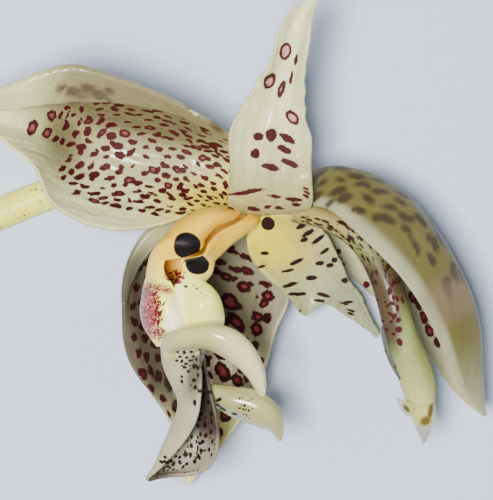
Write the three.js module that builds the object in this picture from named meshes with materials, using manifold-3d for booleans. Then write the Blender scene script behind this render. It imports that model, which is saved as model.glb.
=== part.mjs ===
import * as THREE from 'three';
import { mergeVertices } from 'three/addons/utils/BufferGeometryUtils.js';
import Module from 'manifold-3d';

const wasm = await Module();
wasm.setup();

// A picked flower lying on its back, in mm. X runs across the flower from the
// stalk to the dorsal sepal, Y from the lip up to the near petal, Z up.
const fitGap = 0.3;
const sepalThickness = { middle: 1.3, margin: 0.7 };
const petalThickness = { middle: 1.1, margin: 0.7 };
const lipThickness = { middle: 1.5, margin: 0.8 };

// Leaf-like pieces: the two margins and the midrib, base to tip. A fold is
// the strip of the blade that turns back beyond a margin. The fullness says
// how far the blade keeps the midrib's depth towards its margins, and steps
// are the rows and columns of facets.
const lateralSepalNear = {
  left: [
    [6.5, 8.1, 22], [0.6, 7.4, 29.5], [-6.8, 5.3, 32], [-16, 3.2, 34], [-25, 4.7, 35],
    [-32.4, 9.3, 36], [-35.3, 15.8, 38], [-41.8, 21.5, 38], [-50.9, 27.8, 36],
  ],
  middle: [
    [7.5, 9.7, 18.5], [3.1, 13.7, 21], [-4, 16.9, 21], [-13.1, 19, 20], [-22.5, 21.1, 20],
    [-29.2, 23.2, 23], [-34.3, 25.9, 29], [-41.8, 27.2, 33], [-50.9, 28, 36],
  ],
  right: [
    [9, 11.4, 20], [7.1, 19.6, 27], [0.2, 25.5, 34], [-9.9, 30.9, 38.5], [-20, 34.7, 41],
    [-27.3, 36.6, 42], [-33.9, 35.1, 42], [-41.8, 32, 40.5], [-50.9, 28.2, 36],
  ],
  rightFold: [
    [9, 11.6, 21], [7.1, 19.8, 27.5], [-0.3, 24.6, 33], [-9.7, 28.2, 36], [-19.4, 29.6, 37.5],
    [-26.7, 29.7, 38.5], [-33.4, 29.1, 39], [-41.8, 28, 39], [-50.9, 28, 36.5],
  ],
  fullness: 2.4,
  thickness: sepalThickness,
  steps: [20, 10],
};

const lateralSepalFar = {
  left: [
    [5.6, 6.8, 18], [-4.5, 7, 22], [-13.7, 1.1, 23.5], [-17.1, -9.2, 20.5], [-15.4, -19.5, 15],
    [-11.6, -28.3, 11], [-6.6, -37.5, 9], [-4.9, -51.2, 8],
  ],
  middle: [
    [7.3, 5.1, 15], [1.4, 1.1, 8], [-1.9, -7.3, 3], [-2.4, -15.7, 0.9], [-2.4, -24.1, 0.4],
    [-2.4, -33.5, 1.4], [-2.4, -43, 4], [-4.7, -51.4, 8],
  ],
  right: [
    [9.4, 4.1, 15], [13.2, -1, 11], [16.5, -7.9, 13], [16.8, -12.5, 15], [14.2, -18.8, 15],
    [10.7, -30, 13], [3.1, -42.6, 10], [-4.2, -51.2, 8],
  ],
  leftFold: [
    [6.5, 6.4, 19.5], [-3.6, 4.5, 23.5], [-10.5, 0.5, 24.5], [-16.2, -8.1, 22],
    [-17.8, -19.5, 18], [-13.9, -28.9, 15], [-7.9, -37.9, 12], [-5, -51.2, 8.5],
  ],
  fullness: 2.4,
  thickness: sepalThickness,
  steps: [20, 10],
};

const dorsalSepal = {
  left: [
    [19.5, 6.2, 16], [24.1, 1.5, 7], [30.2, -5.6, 2.2], [36.3, -11.1, 0.1], [41.5, -16.1, 0.3],
    [46.8, -22.2, 3], [52.7, -30.8, 9], [58.3, -36, 18],
  ],
  middle: [
    [18.2, 11.2, 18], [25.8, 15.4, 21], [37.3, 12, 21], [45.7, 4.9, 21], [52.5, -5.6, 21],
    [56.7, -16.7, 21], [57.9, -29.3, 20], [58.8, -36, 19],
  ],
  right: [
    [18.6, 8.3, 22], [24.9, 7.8, 31], [31.2, 2.8, 36], [38.4, -4.3, 38], [43.8, -11.3, 37],
    [48.3, -19.5, 34], [52.9, -29.1, 28], [58.5, -35.8, 20],
  ],
  fullness: 2.8,
  thickness: sepalThickness,
  steps: [20, 10],
};

const petalNear = {
  left: [
    [9.8, 8.3, 19], [5.4, 7, 26], [4.6, 9.9, 33], [5, 16.9, 36], [5, 23.4, 38],
    [8.4, 29.9, 39], [13.2, 37.9, 41], [15.5, 45.2, 42], [21.4, 51.3, 40],
  ],
  middle: [
    [12.8, 8.1, 19], [12.8, 6.8, 26], [12.8, 9.5, 32], [12.8, 16.9, 34], [13.4, 23.4, 35],
    [14.9, 29.9, 36], [16.8, 37.7, 38], [18.6, 45, 40], [22.2, 51.5, 40],
  ],
  right: [
    [16.1, 8.3, 19], [20.7, 7.4, 27], [21.8, 10.8, 32], [21.4, 17.3, 34], [21.4, 22.5, 36],
    [19.9, 28, 38], [20.3, 36.4, 41], [21.2, 44.6, 42], [23.1, 51.3, 40],
  ],
  fullness: 2.4,
  thickness: petalThickness,
  steps: [20, 8],
};

const petalFar = {
  left: [
    [9, 4.5, 21], [8.6, 0.6, 22], [10.9, -4.8, 19.5], [17.2, -10.8, 15.5], [20.7, -14.8, 13],
    [24.5, -12.5, 12], [28.9, -14.2, 10], [32.7, -16.9, 8], [36.3, -19.7, 7],
  ],
  middle: [
    [9.9, 5.2, 22.5], [12.8, 2.6, 21.5], [16.3, -1, 18], [20.1, -3.9, 15], [23.3, -6.4, 13],
    [26.4, -9, 12], [29.6, -11.5, 10], [32.9, -14.8, 9], [36.5, -19.5, 7],
  ],
  right: [
    [11.5, 6.2, 24.5], [16.3, 6.3, 26.5], [21.6, 4.9, 23], [25.4, 1.5, 19.5], [27.9, -3.3, 17],
    [29.8, -7.3, 15], [31.7, -9.8, 13], [34.2, -14, 11], [36.7, -19.2, 8],
  ],
  fullness: 2.4,
  thickness: petalThickness,
  steps: [20, 8],
};

const epichile = {
  left: [
    [-0.9, -22, 35], [0.2, -27.6, 36.5], [1.4, -32.9, 37.5], [2.3, -38.4, 37], [1.6, -43.8, 36],
    [-1.7, -47.1, 35], [-7, -47.6, 35], [-12, -48.6, 36],
  ],
  middle: [
    [-4.2, -22, 35], [-3.2, -27.2, 33], [-2.4, -32.5, 31.5], [-2.8, -38.4, 31.5],
    [-4.2, -43.4, 32], [-7.2, -46.1, 33], [-9.7, -47.2, 34], [-12.2, -48.4, 36],
  ],
  right: [
    [-8.7, -21.3, 38], [-7.8, -26.2, 38], [-5.3, -31.8, 39], [-6.6, -37.1, 38],
    [-8.9, -42.1, 37], [-10.1, -45.1, 37], [-11.2, -46.8, 36.5], [-12.4, -48.2, 36],
  ],
  rightFold: [
    [-1.9, -21.1, 41], [-1.1, -26.2, 43], [-1.3, -31.2, 43], [-2.4, -36.3, 42],
    [-5.5, -41.3, 40], [-8.2, -44.4, 38], [-10.3, -46.5, 37], [-12.4, -48.3, 36],
  ],
  fullness: 2.4,
  thickness: { middle: 1.5, margin: 0.8 },
  steps: [16, 9],
};

const hornNear = {
  left: [
    [-8.8, -20.5, 40], [-8.4, -18.8, 42], [-6.1, -17.4, 44.5], [-1.5, -16.3, 46.5],
    [3.1, -16.6, 47.5], [7.5, -18.8, 47], [10.5, -22.8, 46], [11.7, -27, 45], [11.6, -30.6, 44],
  ],
  middle: [
    [-8.2, -21.3, 41], [-7.6, -20.1, 43.5], [-5.3, -19, 46], [-1.2, -18.3, 48], [2.9, -18.9, 49],
    [6.8, -21.1, 48.5], [9.6, -24.5, 47.5], [11.1, -27.9, 46], [11.5, -30.6, 44],
  ],
  right: [
    [-7.4, -21.8, 40], [-6.3, -21.3, 41], [-4.5, -21, 43], [-0.9, -20.7, 45], [2.5, -21.8, 46],
    [5.8, -23.8, 46], [8.6, -26.5, 45.5], [10.2, -28.9, 44.5], [11.4, -30.6, 44],
  ],
  fullness: 2,
  thickness: { middle: 2.2, margin: 1 },
  steps: [16, 6],
};

const hornFar = {
  left: [
    [-0.3, -29.1, 33], [2.7, -29.3, 33.5], [6, -29.7, 34], [9.4, -30.1, 34], [12.1, -31.3, 34],
    [14.2, -33.3, 33.5], [15.5, -35.8, 32.5], [15.6, -38.4, 31.5], [15.2, -40.5, 30.5],
  ],
  middle: [
    [-0.6, -30, 33.5], [2.3, -31.2, 34.3], [5.2, -32.4, 35.2], [8.2, -33.1, 35.5],
    [10.9, -34.2, 35.5], [13, -35.7, 34.8], [14.4, -37.2, 33.5], [15.1, -39, 32],
    [15.2, -40.5, 30.5],
  ],
  right: [
    [-0.9, -31, 31], [1.8, -33.1, 31.5], [4.4, -34.8, 32], [7.1, -36, 32.3], [9.6, -37, 32.3],
    [11.9, -37.8, 32], [13.5, -38.5, 31.5], [14.4, -39.5, 31], [15.1, -40.5, 30.5],
  ],
  fullness: 2,
  thickness: { middle: 1.8, margin: 0.9 },
  steps: [14, 6],
};

const columnWing = {
  left: [
    [36.6, -16.9, 28.8], [36.7, -19.2, 28.8], [37.4, -22.2, 28.6], [38.6, -25.2, 28.4],
    [40.3, -28, 28.2],
  ],
  middle: [
    [37.3, -16.8, 29], [37.9, -19.1, 29.3], [38.7, -22, 29.2], [39.6, -25, 29],
    [40.8, -27.9, 28.5],
  ],
  right: [
    [38.1, -16.7, 29.2], [39.2, -19, 29.6], [40, -21.8, 29.6], [40.7, -24.9, 29.4],
    [41.4, -27.8, 28.8],
  ],
  fullness: 2,
  thickness: { middle: 0.8, margin: 0.6 },
  steps: [8, 4],
};

// The lip's hollow base, station by station from its claw to its mouth: near
// margin, near wall, near flank, floor, far flank, far wall, far margin.
const hypochile = {
  stations: [
    [
      [7.2, 7.6, 25.8], [6, 8.2, 24.5], [6.3, 7.8, 22], [8.1, 6.4, 20.5], [9.8, 5.9, 22],
      [10.6, 5.9, 24.2], [9.2, 6.7, 26],
    ],
    [
      [5.3, 5.4, 31.2], [4, 6.8, 32.4], [2.8, 7.5, 28], [5.5, 5.6, 22.6], [8.6, 4.2, 25],
      [9.4, 4.4, 29], [6.9, 4.9, 32],
    ],
    [
      [1.9, 4, 35.5], [0.8, 5.8, 37.5], [-0.6, 7, 32.5], [1.4, 4.5, 25.5], [4.4, 1.3, 29],
      [4.8, 0.8, 33.5], [2.9, 2.6, 37],
    ],
    [
      [-0.6, 1, 38.5], [-2.5, 3.2, 40.5], [-5.1, 4.9, 35.5], [-2.1, 2, 26.5], [1.5, -1.4, 31],
      [2.3, -1.6, 36], [0.5, -0.1, 40],
    ],
    [
      [-1.6, -0.9, 41], [-4.3, 0.8, 42.5], [-8, 1.8, 38], [-5.3, -1, 27], [0, -2.9, 32],
      [1.2, -3, 37], [-0.6, -2.1, 41.5],
    ],
    [
      [-5.8, -2.5, 41], [-8.6, -0.6, 41], [-10.3, -1.3, 36.5], [-6, -3.5, 27],
      [-0.7, -4.6, 32.5], [0.8, -4.3, 37.8], [-3.5, -2.9, 42],
    ],
    [
      [-8.7, -3.2, 39], [-11.2, -3, 36.5], [-11, -4.7, 31], [-6.3, -6, 26], [-1.5, -6.6, 33],
      [0.2, -5.6, 38], [-4.7, -4.1, 41.5],
    ],
    [
      [-8.7, -5.9, 40], [-11.6, -6, 37.5], [-11.6, -7.6, 32], [-7, -8.1, 25.5], [-1.9, -8.1, 34],
      [-0.9, -7.1, 40], [-4.9, -6, 42],
    ],
    [
      [-7.7, -7.7, 41.3], [-11.4, -8.3, 40], [-12.4, -9.4, 33], [-6.8, -10, 25], [-0.3, -9.6, 35],
      [-0.3, -8.3, 41.5], [-5.8, -8.1, 42],
    ],
    [
      [-6.8, -10.2, 41.8], [-9.9, -10.2, 43], [-13.1, -11.7, 34], [-6.3, -12.1, 25],
      [1.8, -11.5, 35], [0.4, -10.2, 43], [-5.1, -10.3, 41.8],
    ],
    [
      [-6.3, -12.3, 41.5], [-8.9, -13.4, 43.5], [-13.3, -14.2, 35], [-5.7, -14.4, 26],
      [2.9, -14, 36], [0, -12.9, 43.8], [-4.6, -12.4, 41.5],
    ],
    [
      [-5.5, -15.7, 41.5], [-7.8, -16.7, 43], [-12.2, -17.6, 35.5], [-4.7, -17.4, 28],
      [2.9, -16.5, 36], [0.2, -16.1, 42.5], [-3.8, -15.7, 41.5],
    ],
    [
      [-4.8, -19.5, 40], [-6.3, -20.1, 40.5], [-9.9, -20.7, 37], [-3.8, -20.3, 31],
      [1.4, -19.5, 36], [-0.7, -19.2, 40], [-3, -19.5, 40],
    ],
  ],
  thickness: lipThickness,
  steps: [22, 20],
};

// Round pieces: the centre line with half the width and half the depth there,
// and how high an end is domed at most.
const endRadius = 1.2;

const pedicel = {
  path: [
    [-57.4, 1.8, 3.4], [-43.5, 7.6, 3.3], [-33.6, 11.6, 3.2], [-23.6, 15.4, 3.1],
    [-13.1, 17.5, 3.4], [-3.6, 15.6, 6.5], [3.1, 12, 11.5], [9, 8.9, 16], [17.4, 7.6, 18.5],
  ],
  width: [3.5, 3.45, 3.35, 3.3, 3.3, 3.3, 3.8, 4.8, 3.6],
  depth: [3.5, 3.45, 3.35, 3.3, 3.3, 3.3, 3.8, 4.6, 3.6],
  steps: [24, 12],
};

const column = {
  path: [
    [16.5, 7.2, 23], [23.3, 6, 26], [30, 2.6, 28], [35.2, -3.1, 29], [38.6, -11.1, 29],
    [40.9, -19.9, 28], [43.4, -27, 26.5], [44.9, -32.9, 25.5],
  ],
  width: [2.4, 2.2, 2.4, 2.9, 3.3, 3.4, 3.5, 3],
  depth: [2.6, 2.4, 2.6, 3.2, 4, 4.4, 4, 3],
  steps: [18, 12],
};

const antherCap = {
  path: [[45, -33.3, 25.4], [45.3, -35.8, 25.1], [45.5, -38.8, 24.8], [45.5, -41.3, 24.6]],
  width: [2.9, 2.5, 1.5, 0.4],
  depth: [2.6, 2.4, 1.6, 0.5],
  steps: [7, 12],
};

const columnTooth = {
  path: [[42.6, -34.4, 28], [41.4, -33.6, 29.3], [40.3, -32.7, 30.3], [39.3, -31.7, 31]],
  width: [1.7, 1.2, 0.7, 0.3],
  depth: [0.9, 0.6, 0.4, 0.3],
  steps: [5, 8],
};

const mesochile = {
  path: [[-3.6, -18.4, 35], [-4, -20.3, 35.5], [-4.2, -22.4, 36], [-3.2, -26, 34.5], [-1, -30, 32.5]],
  width: [4.2, 4.2, 3.8, 2.8, 1.6],
  depth: [3, 4.4, 3.4, 2.2, 1.2],
  steps: [10, 12],
};

const lipTooth = {
  path: [[-2, -24.4, 37.5], [-2.1, -23, 40.5], [-1.8, -22.2, 42], [-1.5, -21.6, 43]],
  width: [0.95, 0.75, 0.45, 0.3],
  depth: [0.7, 0.5, 0.35, 0.3],
  steps: [4, 8],
};

const lipKnob = {
  path: [[-6.9, -22.9, 38.5], [-7.7, -22.4, 40], [-8, -22, 41]],
  width: [1.3, 1.3, 0.9],
  depth: [1.3, 1.3, 0.9],
  steps: [3, 8],
};

const vector = ([x, y, z]) => new THREE.Vector3(x, y, z);
const curveThrough = (points) => new THREE.CatmullRomCurve3(points, false, 'catmullrom', 0.5);
const shares = (count) => Array.from({ length: count + 1 }, (_, i) => i / count);

// Rails across a leaf-like piece, from the left margin to the right one: both
// margins, the midrib, and one rail halfway on each side.
function railsOf({ left, middle, right, fullness, leftFold, rightFold }) {
  const rails = [0, 0.25, 0.5, 0.75, 1].map((across) => {
    const depth = 1 - Math.abs(2 * across - 1) ** fullness;
    return left.map((_, i) => {
      const nearMargin = vector(left[i]);
      const farMargin = vector(right[i]);
      const chordMiddle = nearMargin.clone().lerp(farMargin, 0.5);
      const sag = vector(middle[i]).sub(chordMiddle);
      return nearMargin.lerp(farMargin, across).addScaledVector(sag, depth);
    });
  });
  if (rightFold) rails.push(rightFold.map(vector));
  if (leftFold) rails.unshift(leftFold.map(vector));
  return rails;
}

// Points of the middle surface, row by row from base to tip.
function surface(rails, [rows, columns]) {
  const lines = rails.map(curveThrough);
  return shares(rows).map((along) => {
    const across = curveThrough(lines.map((line) => line.getPoint(along)));
    return shares(columns).map((share) => across.getPoint(share));
  });
}

function gridNormal(grid, i, j) {
  const rows = grid.length - 1;
  const columns = grid[0].length - 1;
  const along = grid[Math.min(i + 1, rows)][j].clone().sub(grid[Math.max(i - 1, 0)][j]);
  const across = grid[i][Math.min(j + 1, columns)].clone().sub(grid[i][Math.max(j - 1, 0)]);
  return along.cross(across).normalize();
}

// A margin point moved outwards along the surface by the given distance.
function widened(grid, i, j, distance) {
  const rows = grid.length - 1;
  const columns = grid[0].length - 1;
  const point = grid[i][j].clone();
  const inward = [];
  if (j === 0 || j === columns) inward.push(grid[i][j === 0 ? 1 : columns - 1]);
  if (i === 0 || i === rows) inward.push(grid[i === 0 ? 1 : rows - 1][j]);
  for (const inner of inward) {
    const outward = grid[i][j].clone().sub(inner).normalize();
    point.addScaledVector(outward, distance);
  }
  return point;
}

// A closed shell round the middle surface, thinner towards its margins. The
// extra distance makes it larger all round.
function shell(grid, thickness, extra) {
  const rows = grid.length - 1;
  const columns = grid[0].length - 1;
  const stride = columns + 1;
  const count = (rows + 1) * stride;
  const points = [];
  for (const side of [1, -1]) {
    for (let i = 0; i <= rows; i += 1) {
      for (let j = 0; j <= columns; j += 1) {
        const toMargin = Math.abs((2 * j) / columns - 1);
        const swell = (1 - toMargin ** 2) * (1 - (i / rows) ** 3);
        const full = thickness.margin + (thickness.middle - thickness.margin) * swell;
        const point = widened(grid, i, j, extra);
        points.push(point.addScaledVector(gridNormal(grid, i, j), side * (full / 2 + extra)));
      }
    }
  }
  const faces = [];
  const quad = (a, b, c, d) => faces.push([a, b, c], [a, c, d]);
  const upper = (i, j) => i * stride + j;
  const lower = (i, j) => count + i * stride + j;
  for (let i = 0; i < rows; i += 1) {
    for (let j = 0; j < columns; j += 1) {
      quad(upper(i, j), upper(i + 1, j), upper(i + 1, j + 1), upper(i, j + 1));
      quad(lower(i, j), lower(i, j + 1), lower(i + 1, j + 1), lower(i + 1, j));
    }
    quad(upper(i, 0), lower(i, 0), lower(i + 1, 0), upper(i + 1, 0));
    quad(upper(i, columns), upper(i + 1, columns), lower(i + 1, columns), lower(i, columns));
  }
  for (let j = 0; j < columns; j += 1) {
    quad(upper(0, j), upper(0, j + 1), lower(0, j + 1), lower(0, j));
    quad(upper(rows, j), lower(rows, j), lower(rows, j + 1), upper(rows, j + 1));
  }
  return solid(points, faces);
}

// One ring of a round piece: its centre, its heading and its half sizes.
function ringAt(line, halfSizes, along) {
  const heading = line.getTangent(along);
  const sideways = heading.clone().cross(new THREE.Vector3(0, 0, 1)).normalize();
  return {
    centre: line.getPoint(along),
    heading,
    sideways,
    facing: sideways.clone().cross(heading),
    half: halfSizes.getPoint(along),
  };
}

// Two smaller rings that round off an end, then the point that closes it.
function domeRings(ring, direction) {
  const height = Math.min(ring.half.x, endRadius);
  return [0.5, 0.87].map((rise) => ({
    ...ring,
    centre: ring.centre.clone().addScaledVector(ring.heading, direction * rise * height),
    half: ring.half.clone().multiplyScalar(Math.sqrt(1 - rise ** 2)),
  }));
}

// A closed round body along a centre line, larger all round by the extra.
function tube({ path, width, depth, steps: [rows, sides] }, extra) {
  const line = curveThrough(path.map(vector));
  const halfSizes = curveThrough(width.map((value, i) => new THREE.Vector3(value, depth[i], 0)));
  const inner = shares(rows).map((along) => ringAt(line, halfSizes, along));
  const rings = [
    ...domeRings(inner[0], -1).reverse(),
    ...inner,
    ...domeRings(inner[rows], 1),
  ];
  const points = [];
  for (const { centre, sideways, facing, half } of rings) {
    for (let j = 0; j < sides; j += 1) {
      const angle = (2 * Math.PI * j) / sides;
      const point = centre.clone();
      point.addScaledVector(sideways, Math.cos(angle) * (half.x + extra));
      point.addScaledVector(facing, Math.sin(angle) * (half.y + extra));
      points.push(point);
    }
  }
  const faces = [];
  for (let i = 0; i < rings.length - 1; i += 1) {
    for (let j = 0; j < sides; j += 1) {
      const a = i * sides + j;
      const b = i * sides + ((j + 1) % sides);
      faces.push([a, b, b + sides], [a, b + sides, a + sides]);
    }
  }
  const first = rings[0];
  const last = rings[rings.length - 1];
  const start = points.length;
  const end = start + 1;
  const startReach = Math.min(first.half.x, endRadius) * 0.3 + extra;
  const endReach = Math.min(last.half.x, endRadius) * 0.3 + extra;
  points.push(first.centre.clone().addScaledVector(first.heading, -startReach));
  points.push(last.centre.clone().addScaledVector(last.heading, endReach));
  const lastRing = (rings.length - 1) * sides;
  for (let j = 0; j < sides; j += 1) {
    const next = (j + 1) % sides;
    faces.push([start, next, j], [end, lastRing + j, lastRing + next]);
  }
  return solid(points, faces);
}

// A solid from points and triangles, turned right side out if need be.
function solid(points, faces) {
  const mesh = new wasm.Mesh({
    numProp: 3,
    vertProperties: new Float32Array(points.flatMap((point) => point.toArray())),
    triVerts: new Uint32Array(faces.flat()),
  });
  const body = new wasm.Manifold(mesh);
  if (body.volume() > 0) return body;
  mesh.triVerts = new Uint32Array(faces.flatMap(([a, b, c]) => [a, c, b]));
  return new wasm.Manifold(mesh);
}

// The slab under the table's top. What dips into it is cut to a flat spot.
function slab() {
  const box = new THREE.BoxGeometry(400, 400, 20).translate(0, 0, -10);
  box.deleteAttribute('normal');
  box.deleteAttribute('uv');
  const { attributes, index } = mergeVertices(box);
  return new wasm.Manifold(new wasm.Mesh({
    numProp: 3,
    vertProperties: new Float32Array(attributes.position.array),
    triVerts: new Uint32Array(index.array),
  }));
}

function leafLike(spec, extra) {
  return shell(surface(railsOf(spec), spec.steps), spec.thickness, extra);
}

function lipBase(extra) {
  const { stations, thickness, steps } = hypochile;
  const rails = stations[0].map((_, k) => stations.map((station) => vector(station[k])));
  return shell(surface(rails, steps), thickness, extra);
}

function lipMiddle(extra) {
  const bodies = [mesochile, lipTooth, lipKnob].map((spec) => tube(spec, extra));
  const horns = [hornNear, hornFar].map((spec) => leafLike(spec, extra));
  return wasm.Manifold.union([...bodies, ...horns]);
}

function wingedColumn(extra) {
  const wing = leafLike(columnWing, extra);
  return wasm.Manifold.union([tube(column, extra), tube(columnTooth, extra), wing]);
}

// A cut can leave crumbs at a crowded base: only the piece itself stays.
function largestPart(body) {
  return body.decompose().reduce((best, next) => (
    next.volume() > best.volume() ? next : best));
}

function meshOf(body, name, color) {
  const { vertProperties, triVerts } = body.getMesh();
  const geometry = new THREE.BufferGeometry();
  geometry.setAttribute('position', new THREE.BufferAttribute(vertProperties.slice(), 3));
  geometry.setIndex(new THREE.BufferAttribute(triVerts.slice(), 1));
  geometry.computeVertexNormals();
  const material = new THREE.MeshStandardMaterial({ color, roughness: 0.45, metalness: 0 });
  const mesh = new THREE.Mesh(geometry, material);
  mesh.name = name;
  return mesh;
}

// In the order they are fitted: each gives way to the ones before it.
const pieces = [
  { name: 'ovary_pedicel', make: (extra) => tube(pedicel, extra), color: 0xc3c78c },
  { name: 'column', make: wingedColumn, color: 0xb9c391 },
  { name: 'anther_cap', make: (extra) => tube(antherCap, extra), color: 0xe6e2c6 },
  { name: 'lip_mesochile', make: lipMiddle, color: 0xe9ead6 },
  { name: 'lip_hypochile', make: lipBase, color: 0xeab35c },
  { name: 'lip_epichile', make: (extra) => leafLike(epichile, extra), color: 0xc9c4bb },
  { name: 'petal_near', make: (extra) => leafLike(petalNear, extra), color: 0xe2e6cf },
  { name: 'petal_far', make: (extra) => leafLike(petalFar, extra), color: 0xdfdf9d },
  {
    name: 'lateral_sepal_near',
    make: (extra) => leafLike(lateralSepalNear, extra),
    color: 0xe6dfbd,
  },
  {
    name: 'lateral_sepal_far',
    make: (extra) => leafLike(lateralSepalFar, extra),
    color: 0xd8cfb8,
  },
  { name: 'dorsal_sepal', make: (extra) => leafLike(dorsalSepal, extra), color: 0xa3a172 },
];

const flower = new THREE.Group();
flower.name = 'stanhopea_flower';
const table = slab();
const fitted = [];
for (const { name, make, color } of pieces) {
  let body = make(0);
  for (const neighbour of fitted) body = body.subtract(neighbour);
  body = largestPart(body.subtract(table));
  fitted.push(make(fitGap));
  flower.add(meshOf(body, name, color));
}

export default flower;
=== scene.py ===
import math

import bpy
import numpy as np
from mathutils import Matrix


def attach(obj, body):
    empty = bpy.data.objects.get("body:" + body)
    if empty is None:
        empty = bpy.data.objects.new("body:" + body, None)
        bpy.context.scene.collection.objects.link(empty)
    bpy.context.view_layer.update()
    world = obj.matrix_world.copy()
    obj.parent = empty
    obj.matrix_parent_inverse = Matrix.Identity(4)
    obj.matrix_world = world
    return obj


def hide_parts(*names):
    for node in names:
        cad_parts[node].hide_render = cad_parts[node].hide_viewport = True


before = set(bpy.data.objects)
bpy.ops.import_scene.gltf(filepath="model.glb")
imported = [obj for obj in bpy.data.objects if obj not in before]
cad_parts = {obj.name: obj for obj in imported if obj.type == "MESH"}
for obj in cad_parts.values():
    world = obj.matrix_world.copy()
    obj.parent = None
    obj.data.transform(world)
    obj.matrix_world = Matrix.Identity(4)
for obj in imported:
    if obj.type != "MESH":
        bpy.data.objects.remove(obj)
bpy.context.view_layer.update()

mm = 0.001

# view: the photograph's frame, with the camera looking down on the flower
view = {
    "framePixels": (493, 500),
    "pixel": 0.21,             # mm of the flower for one pixel of the frame
    "centre": (8.25, -0.98),   # mm, what the middle of the frame looks at
    "height": 700.0,           # mm, camera above the floor
    "sharpLevel": 25.0,        # mm, height at which one pixel is exactly 0.21 mm
    "sensor": 36.0,            # mm
    "clip": (0.01, 20),        # m, nearest and furthest thing shown
}


# surfaces

railShares = (0, 0.25, 0.5, 0.75, 1)   # where the rails of a blade stand between its margins
tiny = 1e-9                            # keeps a length of zero from being divided by
thinnest = 0.02                        # mm, least half size of a tube


def splineMatrix(count, at):
    # natural cubic spline through evenly spaced stations: each row holds what every
    # station adds at one place, from the usual tridiagonal system of second derivatives
    step = 1.0 / (count - 1)
    system = np.eye(count)
    jumps = np.zeros((count, count))
    inner = np.arange(1, count - 1)
    for beside, share, jump in ((-1, step / 6, 1 / step), (0, 2 * step / 3, -2 / step),
                                (1, step / 6, 1 / step)):
        system[inner, inner + beside] = share
        jumps[inner, inner + beside] = jump
    bends = np.linalg.solve(system, jumps)
    left = np.clip((at / step).astype(int), 0, count - 2)
    b = (at / step - left)[:, None]
    a = 1 - b
    plain = np.eye(count)
    return (a * plain[left] + b * plain[left + 1]
            + step ** 2 / 6 * ((a ** 3 - a) * bends[left] + (b ** 3 - b) * bends[left + 1]))


def loft(net, along, across):
    # a point is the spline across of the splines along, net[station, rail] being mm points
    lengthwise = splineMatrix(net.shape[0], along)
    crosswise = splineMatrix(net.shape[1], across)
    return np.einsum("ik,krc,jr->ijc", lengthwise, net, crosswise)


def bladeNet(form):
    # rails at quarters of the chord between the margins, each sagging towards the midrib by
    # 1 - |2x - 1|^fullness, then the folded strips beyond the margins
    left, middle, right = (np.array(form[k], float) for k in ("left", "middle", "right"))
    rails = []
    for x in railShares:
        chord = left * (1 - x) + right * x
        rails.append(chord + (middle - (left + right) / 2) * (1 - abs(2 * x - 1) ** form["fullness"]))
    if "rightFold" in form:
        rails.append(np.array(form["rightFold"], float))
    if "leftFold" in form:
        rails.insert(0, np.array(form["leftFold"], float))
    return np.stack(rails, 1)


def unit(vectors):
    # each vector divided by its own length
    return vectors / np.maximum(np.linalg.norm(vectors, axis=-1, keepdims=True), tiny)


def gridNormals(grid):
    # cross product of the central differences along and across
    return unit(np.cross(np.gradient(grid, axis=0), np.gradient(grid, axis=1)))


def runningLength(line):
    # length from the first point of a line to each of its points
    return np.concatenate([[0], np.cumsum(np.linalg.norm(np.diff(line, axis=0), axis=1))])


def surfaceLengths(grid):
    # running length along the middle column, and the signed running length across each
    # row measured from its middle, both in mm
    middle = grid.shape[1] // 2
    steps = np.linalg.norm(np.diff(grid, axis=1), axis=2)
    across = np.concatenate([np.zeros((len(grid), 1)), np.cumsum(steps, 1)], 1)
    across -= across[:, middle:middle + 1]
    return np.repeat(runningLength(grid[:, middle])[:, None], grid.shape[1], 1), across


def smoothStep(x, low, high):
    # 3t^2 - 2t^3 of the clamped share t between low and high; it falls where low is larger
    t = np.clip((x - low) / (high - low), 0, 1)
    return t * t * (3 - 2 * t)


rippleForm = {
    "waves": 7,
    "rateStep": 0.45, "rateSpread": (0.7, 1.3),   # how much faster each wave is, and by chance
    "fall": 0.6, "gain": 1.6,                     # how much weaker, and the strength of the sum
}


def ripple(x, y, seed):
    # sum of seeded plane waves, about -1 to 1: wave k has a rate of 1 + 0.45k turns to a
    # unit, varied by chance, and a share of 1 / (1 + 0.6k)
    rng = np.random.default_rng(seed)
    total = np.zeros(np.broadcast(x, y).shape)
    weight = 0.0
    for k in range(rippleForm["waves"]):
        turn, phase = rng.uniform(0, 2 * math.pi, 2)
        rate = 2 * math.pi * (1 + rippleForm["rateStep"] * k) * rng.uniform(*rippleForm["rateSpread"])
        share = 1 / (1 + rippleForm["fall"] * k)
        total += share * np.sin(rate * (x * math.cos(turn) + y * math.sin(turn)) + phase)
        weight += share
    return total / weight * rippleForm["gain"]


# markings

farAway = 9.0   # mm, the distance given to a place with no spot near

scatterForm = {
    "ringFrom": math.inf, "lobed": 0.5,   # half length above which a spot is a ring, share with a lobe
    "turn": lambda s, w: 0.0, "scale": lambda s, w: 1.0,
    "freeLong": 1.25, "freeWide": 0.8,    # free space along and across a spot, times the spacing
    "lobeAt": (0.5, 0.95),                # where a lobe sits, in half sizes of its spot
    "lobeLong": 0.55, "lobeWide": 0.75,   # its half sizes, in those of its spot
}


def crowded(spots, s, w, turn, space, marks):
    # whether a spot lies in the ellipse of free space round a place: its offset in the
    # ellipse's own axes, each divided by the stretch, is shorter than the space
    c, q = math.cos(turn), math.sin(turn)
    for other in spots:
        ds, dw = s - other[0], w - other[1]
        a = (ds * c + dw * q) / marks["freeLong"]
        b = (-ds * q + dw * c) / marks["freeWide"]
        if a * a + b * b < space * space:
            return True
    return False


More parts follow.
